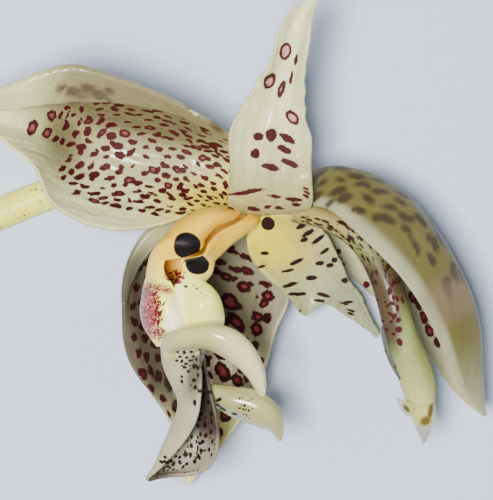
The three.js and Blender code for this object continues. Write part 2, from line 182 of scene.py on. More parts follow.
def scatterSpots(rng, marks, reach):
    # dart throwing in the flat (length, width) plane: a dart stays when it is inside the
    # marked region and further than the spacing from every spot that is already there
    spots = []
    for _ in range(marks["tries"]):
        s = rng.uniform(*marks["length"])
        w = rng.uniform(-reach, reach)
        grow = rng.uniform(*marks["halfLength"])
        slim = rng.uniform(*marks["slimness"])
        turn = marks["turn"](s, w) + rng.normal(0, marks["turnSpread"])
        ring = float(grow > marks["ringFrom"])
        lobe = rng.uniform(*marks["lobeAt"], 2) * rng.choice([-1, 1], 2)
        lobed = rng.uniform() < marks["lobed"]
        if not marks["inside"](s, w):
            continue
        scale = marks["scale"](s, w)
        if crowded(spots, s, w, turn, marks["spacing"] * scale, marks):
            continue
        a, b = grow * scale, grow * slim * scale
        spots.append((s, w, a, b, turn, ring))
        if lobed:
            c, q = math.cos(turn), math.sin(turn)
            spots.append((s + a * lobe[0] * c - b * lobe[1] * q, w + a * lobe[0] * q + b * lobe[1] * c,
                          a * marks["lobeLong"], b * marks["lobeWide"], turn + lobe[1], ring))
    return np.array(spots)


def spotField(x, y, spots, reach=farAway):
    # signed distance to the nearest ellipse, (|q| - 1) times its smaller half size, q being
    # the place in the ellipse's own stretched axes; and whether that one is a ring
    flatX, flatY = x.ravel(), y.ravel()
    best = np.full(flatX.shape, reach)
    ring = np.zeros(flatX.shape)
    for cx, cy, a, b, turn, isRing in spots:
        dx, dy = flatX - cx, flatY - cy
        near = np.abs(dx) + np.abs(dy) < reach
        c, s = math.cos(turn), math.sin(turn)
        px, py = dx[near] * c + dy[near] * s, dy[near] * c - dx[near] * s
        q = np.sqrt((px / a) ** 2 + (py / b) ** 2)
        gap = (q - 1) * min(a, b)
        closer = gap < best[near]
        where = np.flatnonzero(near)[closer]
        best[where] = gap[closer]
        ring[where] = isRing
    return best.reshape(x.shape), ring.reshape(x.shape)


def inFrame(grid):
    # the pixel of the frame, across and down, at which the camera shows each point
    width, depth = view["framePixels"]
    scale = view["pixel"] * (view["height"] - grid[..., 2]) / (view["height"] - view["sharpLevel"])
    return (width / 2 + (grid[..., 0] - view["centre"][0]) / scale,
            depth / 2 - (grid[..., 1] - view["centre"][1]) / scale)


def scatterOver(**changes):
    # marks scattered over the flattened blade
    marks = {**scatterForm, **changes}

    def markBlade(grid, length, width):
        rng = np.random.default_rng(marks["seed"])
        spots = scatterSpots(rng, marks, float(np.abs(width).max()))
        return spotField(length, width, spots)
    return markBlade


def stampOver(marks, above=-1.0, swell=1.0):
    # marks listed as the frame shows them, on what is higher than the given mm: pixel
    # across and down, half length and half width in pixels (both times the swell), degrees
    # anticlockwise, and 1 for a ring; the last two are 0 if left out
    def markBlade(grid, length, width):
        across, down = inFrame(grid)
        spots = [(px, -py, a * swell, b * swell, math.radians(turn), ring)
                 for px, py, a, b, turn, ring in ((*mark, 0, 0)[:6] for mark in marks)]
        gap, ring = spotField(across, -down, spots, farAway / view["pixel"])
        return np.where(grid[..., 2] > above, gap * view["pixel"], farAway), ring
    return markBlade


def bothMarks(first, second):
    # the nearer of two sets of marks
    def markBlade(grid, length, width):
        gapA, ringA = first(grid, length, width)
        gapB, ringB = second(grid, length, width)
        return np.minimum(gapA, gapB), np.where(gapA < gapB, ringA, ringB)
    return markBlade


def noMarks(grid, length, width):
    # every place is far from a spot
    return np.full(length.shape, farAway), np.zeros(length.shape)


# masks: functions of u from 0 to 1 along the piece, v across it (-1 to 1 over a blade, the
# angle round a tube) and the grid. Warm brings in the colour of its name. Blush and tint bring
# in a colour of their own: on some pieces the piece's own colour, on others painted shade and
# painted light. Fade brings in the outer face's second colour and speck the fine dots

maskNames = ("warm", "blush", "tint", "fade", "speck")


def maskOf(form, key, u, v, grid):
    # the form's own mask between 0 and 1, or none
    if key not in form:
        return np.zeros(u.shape)
    return np.clip(form[key](u, v, grid), 0, 1)


def everywhere(u, v, grid):
    # 1 all over the piece
    return np.ones(u.shape)


def ease(place, low, high, strength=1):
    # 0 at low and the strength at high, smoothly, whichever is the larger: u along the piece,
    # v aside from its middle, or pixels to the right, down or both added over the frame
    def mask(u, v, grid):
        right, down = inFrame(grid)
        x = {"along": u, "aside": v, "right": right, "down": down, "slant": right + down}[place]
        return strength * smoothStep(x, low, high)
    return mask


def band(place, low, high, soft):
    # 1 between low and high, with soft ends: an ease that comes in times one that goes out
    return combined(np.multiply, ease(place, low - soft, low + soft),
                    ease(place, high + soft, high - soft))


def blots(*ellipses):
    # the strongest of some soft ellipses of the frame: pixel across and down, half sizes in
    # pixels, degrees anticlockwise, softness, and the strength unless it is 1. Where q is
    # the distance from the centre in half sizes, it falls from 1 - softness to 1 + softness
    def mask(u, v, grid):
        across, down = inFrame(grid)
        layers = []
        for px, py, a, b, turn, soft, strength in ((*each, 1)[:7] for each in ellipses):
            c, s = math.cos(math.radians(turn)), math.sin(math.radians(turn))
            x, y = across - px, py - down
            q = np.sqrt(((x * c + y * s) / a) ** 2 + ((y * c - x * s) / b) ** 2)
            layers.append(strength * smoothStep(q, 1 + soft, 1 - soft))
        return np.maximum.reduce(layers)
    return mask


def combined(way, *masks):
    # masks added, multiplied or the strongest taken, by the numpy function given
    return lambda u, v, grid: way.reduce([mask(u, v, grid) for mask in masks])


# meshes


def newObject(name, points, faces, fields, slot, nodes):
    # points are mm; fields become float attributes on the points
    mesh = bpy.data.meshes.new(name)
    mesh.from_pydata(np.asarray(points * mm).tolist(), [], faces)
    for key, values in fields.items():
        values = np.ascontiguousarray(values, dtype=np.float32)
        kind, member = ("FLOAT_VECTOR", "vector") if values.ndim == 2 else ("FLOAT", "value")
        mesh.attributes.new(key, kind, "POINT").data.foreach_set(member, values.ravel())
    mesh.polygons.foreach_set("use_smooth", np.ones(len(mesh.polygons), bool))
    mesh.update()
    obj = bpy.data.objects.new(name, mesh)
    bpy.context.scene.collection.objects.link(obj)
    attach(obj, "root")
    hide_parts(*nodes)
    return obj


def outwardFaces(points, faces):
    # six times the volume is the sum of a . (b x c): a negative one means the faces look in
    quads = np.array([f for f in faces if len(f) == 4])
    a, b, c, d = (points[quads[:, k]] for k in range(4))
    volume = np.einsum("ij,ij->", a, np.cross(b, c)) + np.einsum("ij,ij->", a, np.cross(c, d))
    return faces if volume > 0 else [f[::-1] for f in faces]


rim = {
    "turns": (45, 0, -45),      # degrees from the blade's plane to each point of a margin
    "reach": 0.8,               # how far they stand out, in half thicknesses
    "sides": (0.8, 0.5, 0.2),   # share of the inner face's colour at each
}


def bladeShell(grid, thickness, facing):
    # each row of the shell runs over the inner face, round the right margin, back over the
    # outer face and round the left margin; margins are rounded by three points on an
    # ellipse, half the thickness high and 0.8 of that wide
    rows, columns = grid.shape[:2]
    normal = gridNormals(grid) * facing
    half = thickness[..., None] / 2
    inner, outer = grid + normal * half, grid - normal * half
    rims = []
    for edge, nextIn in ((columns - 1, columns - 2), (0, 1)):
        outward = unit(grid[:, edge] - grid[:, nextIn])
        h = half[:, edge]
        rims.append([grid[:, edge] + h * (outward * math.cos(t) * rim["reach"]
                                          + normal[:, edge] * math.sin(t))
                     for t in np.radians(rim["turns"])])
    loop = np.concatenate([inner, np.stack(rims[0], 1), outer[:, ::-1],
                           np.stack(rims[1][::-1], 1)], 1)
    bend = len(rim["turns"])
    column = np.concatenate([np.arange(columns), np.full(bend, columns - 1),
                             np.arange(columns)[::-1], np.zeros(bend, int)])
    side = np.concatenate([np.ones(columns), rim["sides"], np.zeros(columns), rim["sides"][::-1]])
    size = loop.shape[1]
    points = loop.reshape(-1, 3)
    faces = ringFaces(rows, size)[:, [0, 3, 2, 1]].tolist()
    back = size - bend - 1
    for row, flip in ((0, 1), (rows - 1, -1)):
        start = row * size
        first = np.arange(columns - 1)
        cap = np.stack([first, first + 1, back - first - 1, back - first], 1) + start
        rightEnd = np.arange(columns - 1, columns + bend + 1) + start
        leftEnd = np.array([0, *range(back, size)]) + start
        faces += [*cap[:, ::flip].tolist(), rightEnd[::flip].tolist(), leftEnd[::flip].tolist()]
    return points, outwardFaces(points, faces), column, side


def spread(values, column):
    # a field on the grid, laid out in the order of the shell's points
    return values[:, column].reshape(-1)


def tubeShell(path, width, depth, along, turns, flange=None):
    # a section is an ellipse of the local half width and half depth; its sideways axis is
    # heading x up and its facing axis is sideways x heading; flange(u, angle) scales it
    weights = splineMatrix(len(path), along)
    centre = weights @ np.array(path, float)
    a = np.maximum(weights @ np.array(width, float), thinnest)
    b = np.maximum(weights @ np.array(depth, float), thinnest)
    heading = unit(np.gradient(centre, axis=0))
    sideways = unit(np.cross(heading, [0, 0, 1.0]))
    facing = np.cross(sideways, heading)
    u, t = np.meshgrid(along, np.arange(turns) * 2 * math.pi / turns, indexing="ij")
    scaleA, scaleB = flange(u, t) if flange else (1, 1)
    return (centre[:, None] + sideways[:, None] * (a[:, None] * np.cos(t) * scaleA)[..., None]
            + facing[:, None] * (b[:, None] * np.sin(t) * scaleB)[..., None])


def ringFaces(rows, size):
    # quads between neighbouring rings of points
    i, j = np.meshgrid(np.arange(rows - 1), np.arange(size), indexing="ij")
    k = (j + 1) % size
    quads = np.stack([i * size + j, i * size + k, (i + 1) * size + k, (i + 1) * size + j], -1)
    return quads.reshape(-1, 4)


def tubeFaces(rows, turns):
    # the quads, and one many-sided face on each end ring
    last = (rows - 1) * turns
    return ringFaces(rows, turns).tolist() + [
        list(range(turns))[::-1], list(range(last, last + turns))]


def endEased(along, reach=0.03):
    # places from 0 to 1 that crowd together at both ends: each less a small sine of its turn
    return along - reach * np.sin(2 * math.pi * along)


def domedEnds(grid, heights, steps=5, nearTip=0.995):
    # rings added at both ends: the end ring shrunk by sqrt(1 - k^2) and moved out by k
    # times the height, k rising in steps to just short of 1
    rings = [grid]
    for end, nextIn, height, before in ((0, 1, heights[0], True), (-1, -2, heights[1], False)):
        centre = grid[end].mean(0)
        heading = unit(centre - grid[nextIn].mean(0))
        k = np.linspace(0, 1, steps + 1)[1:] * nearTip
        caps = (centre + (grid[end] - centre)[None] * np.sqrt(1 - k ** 2)[:, None, None]
                + heading * (k * height)[:, None, None])
        rings = [caps[::-1]] + rings if before else rings + [caps]
    return np.concatenate(rings)


# materials


def feed(tree, socket, value):
    # a node's output is linked to the socket, and any other value is set on it
    if isinstance(value, bpy.types.NodeSocket):
        tree.links.new(value, socket)
    else:
        socket.default_value = (*value, 1) if socket.type == "RGBA" else value


def addNode(tree, kind, **values):
    # a node with its properties set, and its inputs set or fed, by name
    node = tree.nodes.new(kind)
    for key, value in values.items():
        if key in dir(node):
            setattr(node, key, value)
        else:
            feed(tree, node.inputs[key], value)
    return node


def mixColour(tree, factor, first, second, blend="MIX"):
    # the first colour blended into the second by the factor
    node = addNode(tree, "ShaderNodeMix", data_type="RGBA", blend_type=blend)
    for socket, value in ((0, factor), (6, first), (7, second)):   # its colours are 6 and 7
        feed(tree, node.inputs[socket], value)
    return node.outputs[2]


def calc(tree, operation, *values, clamp=False):
    # one sum over the surface, held between 0 and 1 if asked
    node = addNode(tree, "ShaderNodeMath", operation=operation, use_clamp=clamp)
    for socket, value in zip(node.inputs, values):
        feed(tree, socket, value)
    return node.outputs[0]


def falling(tree, level, distance, width):
    # level - distance / width, held between 0 and 1
    return calc(tree, "SUBTRACT", level, calc(tree, "DIVIDE", distance, width), clamp=True)


def aroundOne(tree, value, strength):
    # a value from 0 to 1 made a factor from 1 - strength / 2 to 1 + strength / 2
    return calc(tree, "MULTIPLY_ADD", value, strength, 1 - strength / 2)


def noise(tree, place, scale, detail, roughness):
    # sum of ever finer and weaker noises, from 0 to 1
    node = addNode(tree, "ShaderNodeTexNoise", Vector=place, Scale=scale, Detail=detail, Roughness=roughness)
    return node.outputs["Fac"]


def cellsAt(tree, place, scale, randomness=0.9):
    # distance to the middle of the nearest cell, and that cell's own colour
    return addNode(tree, "ShaderNodeTexVoronoi", Vector=place, Scale=scale, Randomness=randomness).outputs


def newGroup(name, inputs, outputs):
    # a shader node group: an input with a number is a value, one without is a vector, and
    # every output is a value. Given back with its first node's and its last node's sockets
    group = bpy.data.node_groups.new(name, "ShaderNodeTree")
    for label, value in inputs.items():
        kind = "NodeSocketVector" if value is None else "NodeSocketFloat"
        socket = group.interface.new_socket(label, in_out="INPUT", socket_type=kind)
        if value is not None:
            socket.default_value = value
    for label in outputs:
        group.interface.new_socket(label, in_out="OUTPUT", socket_type="NodeSocketFloat")
    return group, group.nodes.new("NodeGroupInput").outputs, group.nodes.new("NodeGroupOutput").inputs


edgeForm = {
    "ragged": (620.0, 4.0, 0.65),           # noise along the edge: scale, detail, roughness
    "coreSoftness": 0.3,                    # mm
    "haloLevel": 0.6, "haloReach": 0.9,     # strength at the edge, and mm in which it falls by 1
}


def makeSpotEdge():
    # turns the distance to a spot, shifted by noise, into a ragged dark mark, with a redder
    # core in ring spots and a faint flush round it
    group, start, end = newGroup(
        "spotEdge", {"Gap": 1.0, "Ring": 0.0, "Place": None, "Wobble": 0.5, "Softness": 0.12, "Band": 0.5},
        ("Spot", "Core", "Halo"))
    centred = calc(group, "SUBTRACT", noise(group, start["Place"], *edgeForm["ragged"]), 0.5)
    gap = calc(group, "ADD", start["Gap"], calc(group, "MULTIPLY", centred, start["Wobble"]))
    core = falling(group, 0.5, calc(group, "ADD", gap, start["Band"]), edgeForm["coreSoftness"])
    feed(group, end["Spot"], falling(group, 0.5, gap, start["Softness"]))
    feed(group, end["Core"], calc(group, "MULTIPLY", core, start["Ring"]))
    feed(group, end["Halo"], falling(group, edgeForm["haloLevel"], gap, edgeForm["haloReach"]))
    return group


speckleForm = {
    "leastShare": 0.35,   # what the smallest dots have of the size
    "edge": 0.08,         # softness, in cells
}


def makeSpeckle():
    # fine dots or dashes, one to a cell of the flattened surface: the cells are as long and
    # wide as the rate says, and a dot grows with the amount
    group, start, end = newGroup(
        "speckle", {"Flat": None, "Rate": None, "Amount": 0.0, "Size": 0.3}, ("Dots",))
    scaled = addNode(group, "ShaderNodeVectorMath", operation="MULTIPLY")
    feed(group, scaled.inputs[0], start["Flat"])
    feed(group, scaled.inputs[1], start["Rate"])
    cells = cellsAt(group, scaled.outputs["Vector"], 1.0)
    chance = addNode(group, "ShaderNodeSeparateColor", Color=cells["Color"]).outputs["Red"]
    share = calc(group, "MULTIPLY", start["Amount"], calc(group, "ADD", chance, speckleForm["leastShare"]))
    limit = calc(group, "MULTIPLY", start["Size"], share)
    inside = calc(group, "SUBTRACT", limit, cells["Distance"])
    feed(group, end["Dots"], calc(group, "DIVIDE", inside, speckleForm["edge"], clamp=True))
    return group


skinForm = {   # for each noise its scale, detail and roughness
    "mottle": (160.0, 4.0, 0.55), "cells": (4200.0, 2.0, 0.7), "veins": (1.0, 3.0, 0.55),
    "quilt": 900.0, "veinStretch": (0.06, 1.25, 1.0),
    "cellHeight": 0.45, "veinHeight": 0.6, "quiltHeight": -0.35,
}


def makeWaxSkin():
    # fine cells, long veins and broad mottling of waxy petal tissue; the height is the sum
    # of the cells, the veins and a quilting of low domes
    group, start, end = newGroup("waxSkin", {"Place": None, "Flat": None}, ("Mottle", "Veins", "Height"))
    cells = noise(group, start["Place"], *skinForm["cells"])
    quilt = cellsAt(group, start["Place"], skinForm["quilt"])["Distance"]
    stretch = addNode(group, "ShaderNodeMapping", Vector=start["Flat"], Scale=skinForm["veinStretch"])
    veins = noise(group, stretch.outputs["Vector"], *skinForm["veins"])
    height = calc(group, "ADD", calc(group, "MULTIPLY", cells, skinForm["cellHeight"]),
                  calc(group, "MULTIPLY", veins, skinForm["veinHeight"]))
    height = calc(group, "ADD", height, calc(group, "MULTIPLY", quilt, skinForm["quiltHeight"]))
    feed(group, end["Mottle"], noise(group, start["Place"], *skinForm["mottle"]))
    feed(group, end["Veins"], veins)
    feed(group, end["Height"], height)
    return group


spotEdge = makeSpotEdge()
speckle = makeSpeckle()
waxSkin = makeWaxSkin()

waxShader = {
    "Subsurface Radius": (1.0, 0.7, 0.4), "Subsurface Scale": 0.0007,
    "Specular IOR Level": 0.28, "Coat Roughness": 0.14,
}

waxLook = {   # spots and softness are in mm, the grain of the bump in metres
    "field": (0.55, 0.50, 0.22), "warm": (0.64, 0.46, 0.06), "blush": (0.33, 0.26, 0.12),
    "tint": (0.14, 0.10, 0.055), "blushBack": 0.0,
    "spot": (0.050, 0.0002, 0.003), "core": (0.26, 0.035, 0.05),
    "halo": 0.3, "haloColour": (0.34, 0.17, 0.10),
    "outside": (0.44, 0.42, 0.14), "outsideTip": (0.60, 0.58, 0.26),
    "ghostColour": (0.13, 0.085, 0.045), "ghost": 0.55, "ghostSoftness": 0.9, "ghostWobble": 1.4,
    "outerMarks": 0.0,
    "speckRate": (1.0, 1.6, 1.0), "speckSize": 0.3, "speckColour": (0.04, 0.012, 0.006),
    "wobble": 1.1, "softness": 0.14, "band": 0.55, "veins": 0.24, "mottle": 0.36,
    "roughness": 0.34, "roughSpread": 0.25, "roughDrop": 0.12, "spotRoughness": 0.3,
    "bump": 0.35, "grain": 0.0002, "subsurface": 0.12, "coat": 0.2,
}


def look(**changes):
    # the usual look of the waxy tissue with some of it changed
    return {**waxLook, **changes}


def groupNode(tree, group, **values):
    # a node of the group with its sockets set or fed by name
    node = addNode(tree, "ShaderNodeGroup", node_tree=group)
    for key, value in values.items():
        feed(tree, node.inputs[key], value)
    return node.outputs


def tissueMaterial(name, look):
    # inner and outer face have their own colours; the masks and the distances to the spots
    # come with the mesh. Each colour is blended over the last, and both noises shade them
    material = bpy.data.materials.new(name)
    material.use_nodes = True
    tree = material.node_tree
    shader = tree.nodes["Principled BSDF"]
    place = addNode(tree, "ShaderNodeTexCoord").outputs["Object"]

    def field(key, socket="Fac"):
        return addNode(tree, "ShaderNodeAttribute", attribute_name=key).outputs[socket]

    def times(first, second):
        return calc(tree, "MULTIPLY", first, second)

    gap, flat, side = field("spotGap"), field("flat", "Vector"), field("side")
    skin = groupNode(tree, waxSkin, Place=place, Flat=flat)
    edge = groupNode(tree, spotEdge, Gap=gap, Ring=field("spotRing"), Place=place,
                     Wobble=look["wobble"], Softness=look["softness"], Band=look["band"])
    ghost = groupNode(tree, spotEdge, Gap=gap, Place=place,
                      Wobble=look["wobble"] * look["ghostWobble"], Softness=look["ghostSoftness"])
    dots = groupNode(tree, speckle, Flat=flat, Amount=field("speck"),
                     Rate=look["speckRate"], Size=look["speckSize"])["Dots"]

    inner = mixColour(tree, field("warm"), look["field"], look["warm"])
    outer = mixColour(tree, field("fade"), look["outside"], look["outsideTip"])
    outer = mixColour(tree, times(ghost["Spot"], look["ghost"]), outer, look["ghostColour"])
    colour = mixColour(tree, side, outer, inner)
    # the blush and tint layers: on some pieces painted shade and painted light laid over the face colours
    reach = calc(tree, "MAXIMUM", side, look["blushBack"])
    colour = mixColour(tree, times(field("blush"), reach), colour, look["blush"])
    colour = mixColour(tree, field("tint"), colour, look["tint"])
    mottled = aroundOne(tree, skin["Mottle"], look["mottle"])
    veined = aroundOne(tree, skin["Veins"], look["veins"])
    colour = mixColour(tree, 1.0, colour, times(mottled, veined), "MULTIPLY")
    crisp = calc(tree, "MAXIMUM", side, look["outerMarks"])
    colour = mixColour(tree, times(times(edge["Halo"], look["halo"]), crisp), colour, look["haloColour"])
    spot = times(edge["Spot"], crisp)
    colour = mixColour(tree, spot, colour, mixColour(tree, edge["Core"], look["spot"], look["core"]))
    colour = mixColour(tree, dots, colour, look["speckColour"])

    least = look["roughness"] - look["roughDrop"]
    rough = calc(tree, "MULTIPLY_ADD", skin["Mottle"], look["roughSpread"], least)
    rough = calc(tree, "ADD", rough, times(spot, look["spotRoughness"]))
    coat = times(calc(tree, "SUBTRACT", 1.0, spot), look["coat"])
    bump = addNode(tree, "ShaderNodeBump",
                   Strength=look["bump"], Distance=look["grain"], Height=skin["Height"])
    for key, value in {"Base Color": colour, "Roughness": rough, "Coat Weight": coat,
                       "Normal": bump.outputs["Normal"], "Subsurface Weight": look["subsurface"],
                       **waxShader}.items():
        feed(tree, shader.inputs[key], value)
    return material


# growing a piece

bladeForm = {
    "comesIn": (0.08, 0.25), "goesOut": (1.0, 0.93),   # shares of the length for waves and relief
    "waveAcross": 0.25,                                # how much a wave changes to the margin
    "relief": 0.12, "reliefLength": 24, "reliefWidth": 5,   # mm
    "faceApart": 9,                # mm between the patterns of the two faces
}


def growBlade(form):
    # loft, waved margins, thickness, markings and masks of one leaf-like piece: the waves
    # grow with |v|^3, and the thickness falls with 1 - v^2 across and 1 - u^3 along
    along, across = (np.linspace(0, 1, count) for count in form["grid"])
    net = np.array(form["stations"], float) if "stations" in form else bladeNet(form)
    grid = loft(net, along, across)
    normal = gridNormals(grid)
    length, width = surfaceLengths(grid)
    u, v = np.meshgrid(along, across * 2 - 1, indexing="ij")
    waveHeight, waveLength = form.get("wave", (0, 1))
    wave = waveHeight * ripple(length / waveLength, v * bladeForm["waveAcross"], form["seed"])
    relief = form.get("relief", bladeForm["relief"]) * ripple(
        length / bladeForm["reliefLength"], width / bladeForm["reliefWidth"], form["seed"] + 1)
    grow = smoothStep(u, *bladeForm["comesIn"]) * smoothStep(u, *bladeForm["goesOut"])
    grid = grid + normal * ((wave * np.abs(v) ** 3 + relief) * grow)[..., None]
    margin, middle = form["thickness"]
    thickness = margin + (middle - margin) * (1 - v ** 2) * (1 - u ** 3)
    points, faces, column, side = bladeShell(grid, thickness, form.get("facing", 1))
    sides = np.tile(side, len(along))
    front = form["marks"](grid, length, width)
    back = form["backMarks"](grid, length, width) if "backMarks" in form else front
    gap, ring = (np.where(sides > 0.5, spread(a, column), spread(b, column)) for a, b in zip(front, back))
    flat = np.stack([spread(length, column), spread(width, column), sides * bladeForm["faceApart"]], 1)
    fields = {"spotGap": gap, "spotRing": ring, "side": sides,
              "flat": points.copy() if form.get("specksInSpace") else flat}
    for key in maskNames:
        fields[key] = spread(maskOf(form, key, u, v, grid), column)
    finishPiece(form, points, faces, fields)


def growTube(form):
    # an eased tube with its length and girth as the flat place of its markings
    rows, turns = form["grid"]
    along = endEased(np.linspace(0, 1, rows))
    grid = tubeShell(form["path"], form["width"], form["depth"], along, turns, form.get("flange"))
    grid = domedEnds(grid, form["dome"])
    centre = grid.mean(1)
    length, angle = np.meshgrid(runningLength(centre), np.arange(turns) * 2 * math.pi / turns, indexing="ij")
    girth = np.linalg.norm(grid - centre[:, None], axis=2)
    width = girth * ((angle + math.pi) % (2 * math.pi) - math.pi)
    gap, ring = form["marks"](grid, length, width)
    fields = {"spotGap": gap.ravel(), "spotRing": ring.ravel(), "side": np.ones(length.size),
              "flat": np.stack([length.ravel(), width.ravel(), np.zeros(length.size)], 1)}
    for key in maskNames:
        fields[key] = maskOf(form, key, length / length.max(), angle, grid).ravel()
    points = grid.reshape(-1, 3)
    finishPiece(form, points, outwardFaces(points, tubeFaces(len(grid), turns)), fields)


def finishPiece(form, points, faces, fields):
    # the piece's object in its own skin, with what dips below the floor laid flat on it
    points[:, 2] = np.maximum(points[:, 2], 0)
    slot = form.get("slot", form["node"])
    obj = newObject(form["name"], points, faces, fields, slot, [form["node"]])
    obj.data.materials.append(tissueMaterial(form["name"] + "Wax", form["look"]))
    print(form["name"], len(points), "points")


# sepals and petals

lateralSepalNear = {
    "name": "lateralSepalNear", "node": "lateral_sepal_near", "slot": "lateral_sepal", "facing": -1,
    "left": [
        [6.5, 8.1, 22], [0.6, 7.4, 29.5], [-6.8, 5.3, 32], [-16, 3.2, 34], [-25, 4.7, 35],
        [-32.4, 9.3, 36], [-35.3, 15.8, 38], [-41.8, 21.5, 38], [-50.9, 27.8, 36],
    ],
    "middle": [
        [7.5, 9.7, 18.5], [3.1, 13.7, 21], [-4, 16.9, 21], [-13.1, 19, 20], [-22.5, 21.1, 20],
        [-29.2, 23.2, 23], [-34.3, 25.9, 29], [-41.8, 27.2, 33], [-50.9, 28, 36],
    ],
    "right": [
        [9, 11.4, 20], [7.1, 19.6, 27], [0.2, 25.5, 34], [-9.9, 30.9, 38.5], [-20, 34.7, 41],
        [-27.3, 36.6, 42], [-33.9, 35.1, 42], [-41.8, 32, 40.5], [-50.9, 28.2, 36],
    ],
    "rightFold": [
        [9, 11.6, 21], [7.1, 19.8, 27.5], [-0.3, 24.6, 33], [-9.7, 28.2, 36], [-19.4, 29.6, 37.5],
        [-26.7, 29.7, 38.5], [-33.4, 29.1, 39], [-41.8, 28, 39], [-50.9, 28, 36.5],
    ],
    "fullness": 2.4, "thickness": (0.7, 1.3), "grid": (260, 140), "seed": 11,
    "wave": (0.15, 14),
    "marks": bothMarks(
        scatterOver(
            seed=4, tries=12000, length=(3, 50), halfLength=(0.75, 1.25), slimness=(0.42, 0.75),
            spacing=1.85, turnSpread=0.35, ringFrom=1.19,
            turn=lambda s, w: -0.12 - 0.75 * float(smoothStep(s, 20, 40)),
            scale=lambda s, w: 0.84 + 0.01 * s,
            inside=lambda s, w: -20.5 + 0.16 * abs(s - 26) < w < 17 and s < 46 - 0.3 * abs(w)),
        stampOver([
            (31, 128, 9.5, 5, 72, 1), (50.5, 115, 7.5, 4.6, 75, 1), (45.5, 133, 6.5, 4.5, 55, 1),
            (54, 139, 4.5, 3, 40), (60, 112, 6, 1.6, 70), (66, 114, 5, 1.5, 65),
        ])),
    "backMarks": bothMarks(
        scatterOver(
            seed=5, tries=1500, length=(12, 46), halfLength=(1.4, 2.4), slimness=(0.4, 0.6),
            spacing=3.6, turnSpread=0.3, inside=lambda s, w: -16 < w < 15),
        stampOver([
            (61, 87, 6, 3.6, 30), (73, 90, 8, 5, 10), (87, 87, 8, 5, 170), (83, 96, 7, 3),
            (99, 93, 9, 5.5, 160), (109, 90, 5, 3.4, 150), (108, 99, 4, 2.2, 150),
        ], above=34.0)),
    "warm": blots((228, 205, 62, 34, 0, 0.7)),
    # blush: a darker middle and upper half of the inner face, painted shade
    "blush": blots((125, 140, 105, 44, -14, 0.5, 0.95)),
    # tint: painted shade beneath the folded top margin and at the left of the bowl
    "tint": combined(np.multiply, ease("aside", 0.62, 0.58), blots(
        (140, 112, 120, 26, -13, 0.6, 0.9), (64, 140, 18, 36, 10, 0.7, 0.8))),
    "fade": ease("right", 80, 20),
    # the dark outside colour is partly painted shade on the folded top band, which turns away from the light
    "look": look(
        field=(0.79, 0.80, 0.42), warm=(0.98, 0.74, 0.04), blush=(0.34, 0.335, 0.15),
        tint=(0.10, 0.088, 0.04), outside=(0.23, 0.205, 0.095), outsideTip=(0.60, 0.59, 0.29),
        ghostColour=(0.10, 0.062, 0.04), core=(0.24, 0.055, 0.06), ghost=0.9, ghostSoftness=0.8,
        wobble=1.3, bump=1.0, grain=0.0003, veins=0.14, roughness=0.32, coat=0.4,
        haloColour=(0.50, 0.26, 0.18)),
}

